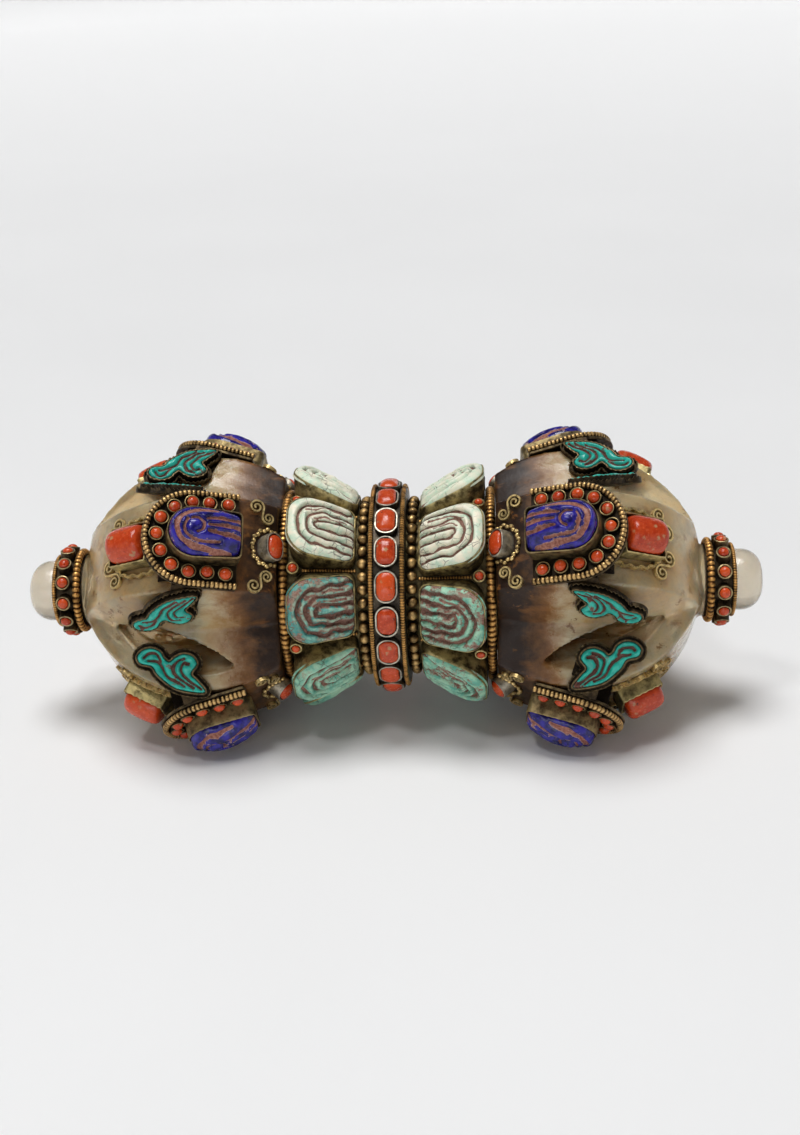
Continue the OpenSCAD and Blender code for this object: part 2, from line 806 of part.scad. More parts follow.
module horseshoe_corals() {
    diameter = horseshoe_collet_d - 2 * collet_wall - 2 * fit;
    color([0.82, 0.3, 0.18])
    each_prong() plaque_frame() each_horseshoe_seat() translate([0, 0, plaque_sheet + collet_floor + fit])
        cabochon(diameter, horseshoe_collet_h - collet_floor + horseshoe_rise);
}

module wing_shape(extra) {
    rotate(wing_turn) polygon(grown(smooth(wing_scale * WING), extra));
}

module wing_bezels() {
    color([0.3, 0.26, 0.2])
    each_prong() plaque_frame() each_wing() translate([0, 0, fit]) difference() {
        linear_extrude(wing_bezel_t) wing_shape(wing_wall);
        translate([0, 0, wing_floor]) linear_extrude(wing_bezel_t) wing_shape(fit);
    }
}

module wing_stones() {
    color([0.15, 0.65, 0.6])
    each_prong() plaque_frame() each_wing() translate([0, 0, wing_floor + 2 * fit])
        linear_extrude(wing_bezel_t - wing_floor + wing_rise) wing_shape(0);
}

module barrel_bezels() {
    outer = [barrel_len + 2 * bezel_wall + 2 * fit, barrel_d + 2 * bezel_wall + 2 * fit];
    color([0.66, 0.56, 0.32])
    each_prong() difference() {
        on_bulb(barrel_seat) difference() {
            translate([0, 0, -barrel_root]) linear_extrude(barrel_root + barrel_bezel_h)
                square(outer, center = true);
            translate([0, 0, barrel_floor]) linear_extrude(reach)
                square([barrel_len + 2 * fit, barrel_d + 2 * fit], center = true);
        }
        bulb_face(fit);
    }
}

module barrel_corals() {
    color([0.82, 0.3, 0.18])
    each_prong() on_bulb(barrel_seat) intersection() {
        translate([-barrel_len / 2, 0, barrel_bezel_h + barrel_rise - barrel_d / 2]) rotate([0, 90, 0])
            cylinder(h = barrel_len, d = barrel_d);
        translate([-reach / 2, -reach / 2, barrel_floor + fit]) cube(reach);
    }
}

// Spiral of three half turns, standing on the ground plane
module scroll() {
    middle_r = 0.68 * scroll_r;
    inner_r = 0.4 * scroll_r;
    translate([0, 0, scroll_wire_d / 2 + fit]) {
        half_turn(scroll_r, 0, 0);
        half_turn(middle_r, middle_r - scroll_r, 180);
        half_turn(inner_r, 2 * middle_r - scroll_r - inner_r, 0);
    }
}

module half_turn(radius, x, start) {
    translate([x, 0, 0]) rotate_extrude(angle = 180, start = start)
        translate([radius, 0]) circle(d = scroll_wire_d);
}

module scrolls() {
    color([0.7, 0.6, 0.36])
    each_prong() for (side = [0, 1]) mirror([0, side, 0]) {
        on_bulb(tip_scroll_seat) translate([0, tip_scroll_side, 0]) rotate([0, 0, 60]) scroll();
        on_bulb(-clasp_seat) translate([0, hub_scroll_side, 0]) rotate([0, 0, 120]) scroll();
    }
}

module side_piece(name, turn) {
    if (name == "crystal") crystal();
    if (name == "lotus_collar") lotus_collar(turn);
    if (name == "petal_bezels") petal_bezels(turn);
    if (name == "petal_stones") petal_stones(turn);
    if (name == "divider_wires") divider_wires(turn);
    if (name == "stud_corals") stud_corals(turn);
    if (name == "granule_ring") granule_ring();
    if (name == "hub_wire") hub_wire();
    if (name == "clasp_bezels") clasp_bezels();
    if (name == "clasp_corals") clasp_corals();
    if (name == "end_collar") end_collar();
    if (name == "end_wires") end_wires();
    if (name == "end_corals") end_corals();
    if (name == "cement_beds") cement_beds();
    if (name == "border_wires") border_wires();
    if (name == "lapis_stones") lapis_stones();
    if (name == "horseshoe_corals") horseshoe_corals();
    if (name == "barrel_bezels") barrel_bezels();
    if (name == "barrel_corals") barrel_corals();
    if (name == "wing_bezels") wing_bezels();
    if (name == "wing_stones") wing_stones();
    if (name == "scrolls") scrolls();
}

waist_sleeve();
waist_pin();
girdle_band();
girdle_wires();
girdle_bezels();
girdle_corals();
for (side = SIDES) for (name = SIDE_NODES)
    half(side) side_piece(name, side == "left" ? left_lotus_turn : right_lotus_turn);
for (side = SIDES) for (prong = PRONGS)
    half(side) rotate([prong[1], 0, 0]) plaque();
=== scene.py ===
"""Looks of the two-ended rock crystal vajra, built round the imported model. Sizes are in millimetres."""

from functools import partialmethod
from math import acos, asin, copysign, cos, degrees, pi, radians, sin, sqrt, tan

import bmesh
import bpy
import numpy as np
from mathutils import Matrix, Vector
from mathutils.geometry import delaunay_2d_cdt


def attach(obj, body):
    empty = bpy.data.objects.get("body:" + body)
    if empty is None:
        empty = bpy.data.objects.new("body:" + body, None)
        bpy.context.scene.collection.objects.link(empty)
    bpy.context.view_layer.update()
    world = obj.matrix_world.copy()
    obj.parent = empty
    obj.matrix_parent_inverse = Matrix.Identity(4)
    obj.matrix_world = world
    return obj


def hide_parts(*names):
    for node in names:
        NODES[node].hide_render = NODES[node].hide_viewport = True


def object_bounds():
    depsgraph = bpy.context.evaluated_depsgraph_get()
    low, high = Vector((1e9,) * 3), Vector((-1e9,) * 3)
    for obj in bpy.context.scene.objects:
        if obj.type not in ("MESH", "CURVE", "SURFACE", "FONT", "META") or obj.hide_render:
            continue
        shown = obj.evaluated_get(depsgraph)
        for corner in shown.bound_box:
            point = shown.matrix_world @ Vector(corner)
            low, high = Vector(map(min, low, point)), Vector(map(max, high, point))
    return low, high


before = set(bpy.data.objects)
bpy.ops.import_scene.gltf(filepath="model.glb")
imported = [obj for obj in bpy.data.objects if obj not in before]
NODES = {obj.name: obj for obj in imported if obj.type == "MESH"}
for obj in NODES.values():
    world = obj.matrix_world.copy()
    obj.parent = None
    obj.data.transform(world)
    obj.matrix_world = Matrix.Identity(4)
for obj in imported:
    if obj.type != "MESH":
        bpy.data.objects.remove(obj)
cad_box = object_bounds()
MM = 0.001
RNG = np.random.default_rng(11)
vary = RNG.uniform
X_AXIS = (1, 0, 0)
Z_AXIS = (0, 0, 1)

# Sizes shared with the solids
FIT = 0.05
WALL = 0.6
BULB_R = 46.0
BULB_DROP = 2.5
SHOULDER_R = 35.2
NECK_R = 12.8
NECK_LEN = 2.6
GIRDLE_END = 6.2
GIRDLE_R = 34.3
GIRDLE_COUNT = 19
GIRDLE_WIRE_D = 1.65
GIRDLE_WIRE_X = 5.275
LOTUS_START = GIRDLE_END + FIT
LOTUS_END = 37.0
LOTUS_R_IN = 27.4
LOTUS_R_OUT = 31.0
SLEEVE_BORE_R = 24.1
HUB_WIRE_D = 3.4
HUB_WIRE_X = LOTUS_END - HUB_WIRE_D / 2 - FIT
HUB_WIRE_START = HUB_WIRE_X - HUB_WIRE_D / 2
GRANULE_COUNT = 42
GRANULE_D = 4.0
GRANULE_GAP = 0.1
GRANULE_X = LOTUS_START + GRANULE_D / 2 + GRANULE_GAP
PETAL_COUNT = 8
PETAL_END_GAP = 0.3
PETAL_START = GRANULE_X + GRANULE_D / 2 + PETAL_END_GAP
PETAL_END = HUB_WIRE_START - PETAL_END_GAP
PETAL_MID = (PETAL_START + PETAL_END) / 2
PETAL_RIM_R = 36.4
PETAL_SLOPE = 27.0
PETAL_GAP = 1.4
SECTOR = 180 / PETAL_COUNT
STUD_D = 4.2
STUD_X = HUB_WIRE_START - STUD_D / 2 - 0.1
STUD_RIM_R = 37.0
STUD_STONE_R = 35.0
DIVIDER_D = 1.2
BULB_X = LOTUS_END + FIT + sqrt(BULB_R**2 - (SHOULDER_R + BULB_DROP) ** 2)
COLLAR_START = BULB_X + sqrt(BULB_R**2 - (NECK_R + BULB_DROP) ** 2) + NECK_LEN + FIT
COLLAR_LEN = 10.6
COLLAR_END = COLLAR_START + COLLAR_LEN
COLLAR_R = 11.45
COLLAR_BORE_R = 10.85
COLLAR_FLARE = 1.0
COLLAR_COUNT = 13
END_THICK_D = 2.7
END_THIN_D = 1.5
PLAQUE_R = 17.1
PLAQUE_STRAIGHT = 15.2
PLAQUE_SHEET = 1.2
LAPIS_BEZEL_H = 7.0
PRONGS = {"upper_front": 45, "upper_back": -45, "lower_back": -135, "lower_front": 135}
LOTUS_TURN = {"left": -12, "right": -6}


# Frames
def move(x, y, z):
    place = np.eye(4)
    place[:3, 3] = x, y, z
    return place


def turn(axis, angle):
    c, s = cos(radians(angle)), sin(radians(angle))
    place = np.eye(4)
    a, b = {"x": (1, 2), "y": (2, 0), "z": (0, 1)}[axis]
    place[a, a] = place[b, b] = c
    place[a, b] = -s
    place[b, a] = s
    return place


def on_bulb(angle):
    """Frame on a prong face: X towards the tip along the face, Z out of it."""
    return move(BULB_X, 0, -BULB_DROP) @ turn("y", angle) @ move(0, 0, BULB_R)


def plan_turn(angle):
    """Matrix that turns rows of plan points."""
    return turn("z", angle)[:2, :2].T


FLIPS = (np.eye(4), np.diag([1.0, -1.0, 1.0, 1.0]))
HALVES = {"left": np.diag([-1.0, 1.0, 1.0, 1.0]), "right": np.eye(4)}
PLAQUE_SEAT, PLAQUE_AHEAD, PLAQUE_LIFT = -17, 14.7, 0.4
PLAQUE = on_bulb(PLAQUE_SEAT) @ move(PLAQUE_AHEAD, 0, PLAQUE_LIFT)
CLASP_INSET = 2.5
CLASP_LEAN = 50
CLASP_SEAT = degrees(asin((BULB_X - LOTUS_END - FIT - CLASP_INSET) / BULB_R))
CLASP = on_bulb(-CLASP_SEAT) @ turn("y", CLASP_SEAT - CLASP_LEAN)
BARREL_SEAT = 26.5
BARREL = on_bulb(BARREL_SEAT)
WING_X, WING_Y, WING_LEAN = -1.6, 16.7, 70
WING = move(WING_X, WING_Y, PLAQUE_SHEET / 2) @ turn("x", -WING_LEAN)


def each_prong(side):
    for angle in PRONGS.values():
        yield HALVES[side] @ turn("x", angle)


def bulb_drop(x):
    """Height of a prong face over the plane of its frame, 0 or less."""
    return np.sqrt(BULB_R**2 - np.square(x)) - BULB_R


# Outlines and paths
columns = np.column_stack


def unit(rows):
    """Rows scaled to length 1."""
    return rows / np.maximum(np.linalg.norm(rows, axis=1), 1e-9)[:, None]


def fade(past, length):
    """0 up to a border and 1 from the given length past it."""
    return np.clip(past / length, 0, 1)


def all_round(count):
    return np.linspace(0, 2 * pi, count, endpoint=False)


def spokes(angles):
    return columns([np.cos(angles), np.sin(angles)])


def circle(radius, count):
    return radius * spokes(all_round(count))


def ring_path(x, radius, count=720):
    """Circle about X."""
    angles = all_round(count)
    return columns([np.full(count, x), radius * np.sin(angles), radius * np.cos(angles)])


def rounded(corners, radii, steps=10):
    """Closed outline of straight sides with an arc at each corner."""
    corners = np.array(corners, float)
    outline = []
    for i, radius in enumerate(radii):
        back, ahead = unit(corners[[i - 1, (i + 1) % len(corners)]] - corners[i])
        half = acos(np.clip(back @ ahead, -1, 1)) / 2
        middle = (back + ahead) / np.linalg.norm(back + ahead)
        centre = corners[i] + middle * radius / sin(half)
        start = corners[i] + back * radius / tan(half) - centre
        side = -1 if back[0] * ahead[1] - back[1] * ahead[0] > 0 else 1
        for angle in np.linspace(0, side * (pi - 2 * half), steps + 1):
            c, s = cos(angle), sin(angle)
            outline.append(centre + [c * start[0] - s * start[1], s * start[0] + c * start[1]])
    return np.array(outline)


def box_outline(x0, x1, half_width, radius):
    corners = [(x0, -half_width), (x1, -half_width), (x1, half_width), (x0, half_width)]
    return rounded(corners, [radius] * 4)


def smooth(points, steps=8, closed=False):
    """Smooth curve through the points."""
    points = np.array(points, float)
    count = len(points)
    t = np.linspace(0, 1, steps, endpoint=False)[:, None]
    curve = []
    for i in range(count if closed else count - 1):
        near = range(i - 1, i + 3)
        a, b, c, d = (points[k % count if closed else min(max(k, 0), count - 1)] for k in near)
        curve.append(0.5 * (2 * b + (c - a) * t + (2 * a - 5 * b + 4 * c - d) * t**2
                            + (3 * b - a - 3 * c + d) * t**3))
    if not closed:
        curve.append(points[-1:])
    return np.concatenate(curve)


def run_along(path):
    """Length of the path up to each of its points."""
    return np.concatenate([[0], np.cumsum(np.linalg.norm(np.diff(path, axis=0), axis=1))])


def sampled(path, run, at):
    """Points of the path at the given lengths."""
    return columns([np.interp(at, run, column) for column in path.T])


def spaced(path, step, closed=True):
    """The path again with points an even step apart."""
    path = np.array(path, float)
    if closed:
        path = np.vstack([path, path[:1]])
    run = run_along(path)
    count = max(3, round(run[-1] / step))
    return sampled(path, run, np.linspace(0, run[-1], count + (not closed), endpoint=not closed))


def grown(outline, distance):
    """Counter-clockwise outline moved outwards by an even distance."""
    along = unit(np.roll(outline, -1, axis=0) - np.roll(outline, 1, axis=0))
    return outline + distance * columns([along[:, 1], -along[:, 0]])


def distance_to(points, curve, closed=False):
    """Least distance from each plane point to a curve."""
    curve = np.vstack([curve, curve[:1]]) if closed else curve
    best = np.full(len(points), np.inf)
    for a, b in zip(curve[:-1], curve[1:]):
        side = b - a
        t = np.clip((points - a) @ side / max(side @ side, 1e-9), 0, 1)
        best = np.minimum(best, np.linalg.norm(points - a - t[:, None] * side, axis=1))
    return best


def inside(points, outline):
    crossings = np.zeros(len(points), int)
    for a, b in zip(outline, np.roll(outline, -1, axis=0)):
        between = (a[1] > points[:, 1]) != (b[1] > points[:, 1])
        reach = (b[0] - a[0]) * (points[:, 1] - a[1]) / (b[1] - a[1] + 1e-12) + a[0]
        crossings += between & (points[:, 0] < reach)
    return crossings % 2 == 1


def new_seed():
    return int(RNG.integers(1 << 30))


def ripple(points, length, seed):
    """Smooth unevenness between -1 and 1 with about the given wave length."""
    waves = 6
    rng = np.random.default_rng(seed)
    total = np.zeros(len(points))
    for _ in range(waves):
        way = rng.normal(size=points.shape[1])
        way *= 2 * pi / length / np.linalg.norm(way) * rng.uniform(0.7, 1.4)
        total += np.sin(points @ way + rng.uniform(0, 2 * pi))
    return total / waves


# Solid shapes, with the mask or tone of those that don't vary
EVEN = 0.5


class Shape:
    """Points, faces and painted values of one piece: mask for wear or grooves, tone for each solid."""

    def __init__(self):
        self.points = []
        self.faces = []
        self.mask = []
        self.tone = []
        self.count = 0

    def add(self, solid, place=np.eye(4), tone=None):
        points, faces, mask = solid
        points = np.asarray(points, float) @ place[:3, :3].T + place[:3, 3]
        self.points.append(points)
        self.faces += [[k + self.count for k in face] for face in faces]
        self.mask.append(np.broadcast_to(mask, len(points)).astype(np.float32))
        tone = vary() if tone is None else tone
        self.tone.append(np.full(len(points), tone, np.float32))
        self.count += len(points)


def shapes(count):
    return (Shape() for _ in range(count))


def loft(loops, mask=EVEN, ring=False):
    """Skin over loops of equal length, closed into a ring or capped at its ends."""
    loops = np.array(loops, float)
    rows, count = loops.shape[:2]
    index = np.arange(rows * count).reshape(rows, count)
    skin = np.vstack([index, index[:1]]) if ring else index
    a, b = skin[:-1], skin[1:]
    faces = np.stack([a, np.roll(a, -1, 1), np.roll(b, -1, 1), b], -1).reshape(-1, 4).tolist()
    if not ring:
        faces += [index[0][::-1].tolist(), index[-1].tolist()]
    if np.ndim(mask) < 2:
        mask = np.broadcast_to(mask, (count, rows)).T
    return loops.reshape(-1, 3), faces, np.array(mask, float).reshape(-1)


def level(outline, height):
    return columns([outline, np.broadcast_to(height, len(outline))])


def lathe(profile, mask, count=192):
    """Closed profile of (x, radius) points turned about X."""
    return loft([ring_path(x, radius, count) for x, radius in profile], mask, ring=True)


# Rows of a bezel's wall: share of its thickness, share of its height, rubbed bright or not
CUP_ROWS = [(0, 0, 0.25), (0, 0.9, 0.45), (0.06, 0.97, 0.9), (0.5, 1, 1), (0.94, 0.97, 0.8), (1, 0.9, 0.2)]


def cup(outline, wall, bottom, top, floor, wave=0.0, shine=0.0):
    """Bezel: a thin wall with a rubbed rim round a floor."""
    rise = top - bottom + wave * np.cos(np.arange(len(outline)) * pi / 2)
    loops = [level(grown(outline, -wall * inset), bottom + rise * up) for inset, up, _ in CUP_ROWS]
    loops.append(level(grown(outline, -wall), floor))
    return loft(loops, [max(rubbed, shine) for _, _, rubbed in CUP_ROWS] + [0])


def dome(outline, base, rim, top, rows=6, unevenness=0.05):
    """Polished stone with a rounded top."""
    seed = new_seed()
    near_top = radians(86)
    middle = outline.mean(axis=0)
    loops = [level(outline, base)]
    for angle in np.linspace(0, near_top, rows):
        plan = middle + (outline - middle) * cos(angle)
        loops.append(level(plan, rim + (top - rim) * sin(angle)))
    points, faces, mask = loft(loops)
    points = points + unevenness * columns([ripple(points, 4, seed + k) for k in range(3)])
    return points, faces, mask


def beaded(path, diameter, pitch, up, depth, sides, closed=True):
    """Wire of beads along a path in a plane with the normal up, dark between the beads."""
    bead = np.array([0.0, 0.1, 0.26, 0.5, 0.74, 0.9])
    fine = pitch / 30
    line = spaced(path, fine, closed)
    if closed:
        line = np.vstack([line, line[:1]])
    run = run_along(line)
    count = round(run[-1] / pitch)
    path = sampled(line, run, ((np.arange(count)[:, None] + bead) * run[-1] / count).reshape(-1))
    swell = np.tile(np.sin(pi * bead) ** 0.6, count)
    radii = diameter / 2 * (1 - depth * (1 - swell))
    along = np.roll(path, -1, axis=0) - np.roll(path, 1, axis=0) if closed else np.gradient(path, axis=0)
    along = unit(along)
    across = unit(np.cross(np.broadcast_to(up, path.shape), along))
    lift = np.cross(along, across)
    angles = all_round(sides)
    loops = [p + r * (np.outer(np.cos(angles), s) + np.outer(np.sin(angles), n))
             for p, r, s, n in zip(path, radii, across, lift)]
    return loft(loops, swell, ring=closed)


def strip(path, height, thickness):
    """Flat strip standing on edge along a path, bright along its upper edge."""
    along = unit(np.gradient(path[:, :2], axis=0))
    sides = columns([-along[:, 1], along[:, 0]]) * thickness / 2
    loops = []
    for point, side in zip(path, sides):
        low, high = point[2], point[2] + height
        near, far = point[:2] - side, point[:2] + side
        loops.append([[*near, low], [*far, low], [*far, high], [*near, high]])
    return loft(loops, np.tile([0.75, 0.75, 1.0, 1.0], (len(loops), 1)))


def carved(outline, base, height, grooves, step, depth, width, line, edge, warp):
    """Stone with grooves cut into its crown. The mask is 1 along the bottom of a groove."""
    seed = new_seed()
    rim_gap, merged, line_sway, dent, rim_depth = 0.6 * step, 1e-5, 0.45, 0.12, 0.25
    rim = spaced(outline, step)
    low, high = rim.min(axis=0), rim.max(axis=0)
    xs, ys = np.meshgrid(np.arange(low[0], high[0], step), np.arange(low[1], high[1], step))
    xs[1::2] += step / 2
    grid = columns([xs.ravel(), ys.ravel()])
    grid = grid[inside(grid, rim)]
    grid = grid[distance_to(grid, rim, closed=True) > rim_gap]
    count = len(rim)
    flat = [Vector(p) for p in np.vstack([rim, grid])]
    sides = [(i, (i + 1) % count) for i in range(count)]
    plan, _, top, _, _, _ = delaunay_2d_cdt(flat, sides, [], 1, merged)
    plan = np.array([list(p) for p in plan])
    room = np.minimum(distance_to(plan, rim, closed=True) / edge, 1)
    swayed = plan + warp * columns([ripple(plan, 9, seed), ripple(plan, 7, seed + 1)])
    cut = np.zeros(len(plan))
    drawn = np.zeros(len(plan))
    spread = line * (1 + line_sway * ripple(plan, 5, seed + 2))
    for curve, weight in grooves:
        away = distance_to(swayed, curve)
        cut = np.maximum(cut, weight * np.exp(-((away / width) ** 2)))
        drawn = np.maximum(drawn, weight * np.exp(-((away / spread) ** 2)))
    fall = edge * (1 - np.sqrt(1 - (1 - room) ** 2))
    uneven = dent * ripple(plan, 3.5, seed + 3)
    z = height(plan[:, 0], plan[:, 1]) + uneven - fall - depth * cut * np.minimum(room + rim_depth, 1)
    points = np.vstack([columns([plan, z]), level(plan[:count], base)])
    walls = [[i, j, len(plan) + j, len(plan) + i] for i, j in sides]
    floor = [list(range(len(plan) + count - 1, len(plan) - 1, -1))]
    return points, [list(f) for f in top] + walls + floor, np.concatenate([drawn, drawn[:count]])


def put(name, data):
    """New object in the scene."""
    thing = bpy.data.objects.new(name, data)
    bpy.context.scene.collection.objects.link(thing)
    return thing


def piece(node, shape, paint, sharp=38):
    """Piece made of a shape, with hard edges above an angle."""
    mesh = bpy.data.meshes.new(f"{node}_piece")
    points = np.concatenate(shape.points) * MM
    mesh.from_pydata(points.tolist(), [], shape.faces)
    for key, values in (("mask", shape.mask), ("tone", shape.tone)):
        layer = mesh.attributes.new(key, "FLOAT", "POINT")
        layer.data.foreach_set("value", np.concatenate(values))
    work = bmesh.new()
    work.from_mesh(mesh)
    bmesh.ops.recalc_face_normals(work, faces=work.faces)
    work.to_mesh(mesh)
    work.free()
    mesh.shade_smooth()
    mesh.set_sharp_from_angle(angle=radians(sharp))
    place_piece(node, mesh, paint)


def place_piece(node, mesh, paint):
    """Piece on the only body, instead of the node it is named after. Added trim replaces none."""
    mesh.materials.clear()
    mesh.materials.append(paint)
    thing = put(f"{node}_piece", mesh)
    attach(thing, "root")
    if node in NODES:
        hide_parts(node)


# Materials
MIX_FACTOR, MIX_A, MIX_B, MIX_RESULT = 0, 6, 7, 2


def feed(tree, socket, value):
    if isinstance(value, bpy.types.NodeSocket):
        tree.links.new(value, socket)
    else:
        socket.default_value = value


def add_node(tree, kind, feeds, **settings):
    """Outputs of a new node that is fed with values or links."""
    node = tree.nodes.new(f"ShaderNode{kind}")
    for key, value in settings.items():
        setattr(node, key, value)
    for key, value in feeds.items():
        feed(tree, node.inputs[key], value)
    return node.outputs


def colour(rgb):
    """Linear colour of a screen colour from 0 to 255."""
    shares = [value / 255 for value in rgb]
    return (*(v / 12.92 if v < 0.0404 else ((v + 0.055) / 1.055) ** 2.4 for v in shares), 1.0)


class Paint:
    """Node material of one surface shader. Sizes of patterns are in millimetres."""

    def __init__(self, name, **sockets):
        self.material = bpy.data.materials.new(name)
        self.material.use_nodes = True
        self.tree = self.material.node_tree
        for socket, value in sockets.items():
            self.set(socket.replace("_", " "), value)
        self.coords = self.add("TexCoord", {})["Object"]

    def add(self, kind, feeds, **settings):
        return add_node(self.tree, kind, feeds, **settings)

    def set(self, socket, value):
        feed(self.tree, self.tree.nodes["Principled BSDF"].inputs[socket], value)

    def layer(self, name):
        return self.add("Attribute", {}, attribute_name=name)["Fac"]

    def noise(self, size, detail=4, roughness=0.6, stretch=1):
        """Cloudy noise of about the given size, drawn out along X by the stretch."""
        place = self.coords
        if stretch != 1:
            feeds = {"Vector": place, "Scale": (1 / stretch, 1, 1)}
            place = self.add("Mapping", feeds)["Vector"]
        feeds = {"Vector": place, "Scale": 1 / (size * MM), "Detail": detail, "Roughness": roughness}
        return self.add("TexNoise", feeds)["Fac"]

    def cells(self, size, feature="F1"):
        feeds = {"Vector": self.coords, "Scale": 1 / (size * MM)}
        return self.add("TexVoronoi", feeds, feature=feature)["Distance"]

    def ramp(self, value, low, high, start=0.0, end=1.0):
        """Value between low and high mapped smoothly to start and end."""
        feeds = {"Value": value, "From Min": low, "From Max": high, "To Min": start, "To Max": end}
        return self.add("MapRange", feeds, interpolation_type="SMOOTHSTEP")["Result"]

    def patches(self, low, high, *noise):
        """Patches that rise from 0 to 1 between two levels of a noise."""
        return self.ramp(self.noise(*noise), low, high)

    def edge(self, low, high, start=0.0, end=1.0):
        """Ramp over how far the surface stands out: 0.5 is flat, less a crease, more a ridge."""
        return self.ramp(self.add("NewGeometry", {})["Pointiness"], low, high, start, end)

    def corner_shade_and_grime(self, reach, low=0.25, high=0.85):
        """1 deep in a corner and 0 in the open, for grime and painted shade in corners."""
        open_share = self.add("AmbientOcclusion", {"Distance": reach * MM}, samples=6)["AO"]
        return self.ramp(open_share, low, high, 1.0, 0.0)

    def reckon(self, operation, a, b):
        return self.add("Math", {0: a, 1: b}, operation=operation)[0]

    times = partialmethod(reckon, "MULTIPLY")
    plus = partialmethod(reckon, "ADD")
    minus = partialmethod(reckon, "SUBTRACT")

    def mix(self, factor, a, b):
        a, b = (colour(value) if isinstance(value, tuple) else value for value in (a, b))
        feeds = {MIX_FACTOR: factor, MIX_A: a, MIX_B: b}
        return self.add("Mix", feeds, data_type="RGBA")[MIX_RESULT]

    def coats(self, ground, *coats):
        """Ground colour under coats of (factor, colour) or (factor, colour, greatest share)."""
        for factor, top, *share in coats:
            ground = self.mix(self.times(factor, *share) if share else factor, ground, top)
        return ground

    def bump(self, height, distance, strength):
        feeds = {"Strength": strength, "Distance": distance * MM, "Height": height}
        self.set("Normal", self.add("Bump", feeds)["Normal"])


def metal(name, bright, body, dark, roughness, grime_and_shade=0.75):
    """Aged metal: rubbed where the mask is high, dull and dark in the recesses from patina, grime and
    painted shade.
    """
    paint = Paint(name, Metallic=0.85)
    mask = paint.layer("mask")
    patina = paint.patches(0.35, 0.68, 3.5, 6)
    rub = paint.minus(mask, paint.times(patina, 0.35))
    paint.set("Base Color", paint.coats(
        paint.mix(patina, body, dark),
        (paint.ramp(rub, 0.3, 0.95), bright),
        (paint.ramp(mask, 0.02, 0.3, 1.0, 0.0), dark, 0.8),
        (paint.patches(0.5, 0.72, 1.1, 5), dark, 0.5),
        # Grime and painted shade in the corners
        (paint.corner_shade_and_grime(2.0, 0.15, 0.75), (26, 18, 11), grime_and_shade)))
    paint.set("Roughness", paint.ramp(paint.noise(1.6, 5), 0.25, 0.8, roughness - 0.1, roughness + 0.25))
    paint.bump(paint.plus(paint.noise(0.5, 3), paint.noise(2.2, 3)), 0.12, 0.7)
    return paint.material


def coral_paint():
    """Polished coral with clouds, dark patches, worn and worm-eaten spots and small pits, and grime and
    painted shade in its corners.
    """
    paint = Paint("coral", Specular_IOR_Level=0.35, Coat_Weight=0.14, Coat_Roughness=0.06)
    worm = paint.plus(paint.cells(3.4), paint.times(paint.noise(0.9, 5, 0.7), 0.7))
    spot = paint.times(paint.ramp(worm, 0.5, 0.6, 1.0, 0.0), paint.patches(0.46, 0.58, 7, 2))
    pit = paint.patches(0.68, 0.75, 1.7, 3, 0.5)
    paint.set("Base Color", paint.coats(
        paint.mix(paint.layer("tone"), (172, 48, 16), (212, 78, 30)),
        (paint.patches(0.36, 0.7, 2.4, 6, 0.65), (220, 92, 44), 0.55),
        (paint.patches(0.54, 0.72, 0.8, 6, 0.75), (88, 28, 16), 0.7),
        (paint.patches(0.6, 0.68, 3.4, 8, 0.8), (150, 112, 78), 0.8),
        (spot, (180, 142, 102), 0.8),
        (pit, (60, 32, 20), 0.9),
        # Grime and painted shade in the corners
        (paint.corner_shade_and_grime(1.6), (40, 16, 9), 0.85)))
    paint.set("Roughness", paint.ramp(paint.noise(1.2), 0.3, 0.75, 0.1, 0.34))
    paint.bump(paint.minus(paint.noise(0.8, 5, 0.65), paint.times(pit, 0.8)), 0.07, 0.7)
    return paint.material


def carved_paint(name, ridge, light, groove, chip, pale, wear, gloss):
    """Carved stone with red-brown filling left in its grooves and in worn patches, and grime and painted
    shade in its corners.
    """
    paint = Paint(name, Specular_IOR_Level=0.3, Coat_Weight=0.22, Coat_Roughness=0.06)
    edge = paint.plus(paint.layer("mask"), paint.times(paint.noise(1.2, 6, 0.7), 0.5))
    worn = paint.times(paint.patches(0.5, 0.64, 5.0, 7, 0.68), wear)
    filled = paint.ramp(paint.plus(edge, worn), 0.6, 0.8)
    rim = paint.times(paint.ramp(filled, 0.1, 0.5), paint.ramp(filled, 0.5, 0.9, 1.0, 0.0))
    paint.set("Base Color", paint.coats(
        paint.mix(paint.patches(0.35, 0.66, 3.0, 6), ridge, light),
        (paint.patches(0.55, 0.8, 0.5), light, 0.3),
        (filled, paint.mix(paint.patches(0.3, 0.75, 0.9, 5), groove, chip)),
        (rim, pale, 0.7),
        # Grime and painted shade in the corners
        (paint.corner_shade_and_grime(1.8), (30, 20, 16), 0.75)))
    paint.set("Roughness", paint.ramp(filled, 0.0, 1.0, gloss, 0.7))
    paint.bump(paint.minus(paint.noise(0.5, 5, 0.7), paint.times(filled, 0.5)), 0.06, 0.6)
    return paint.material


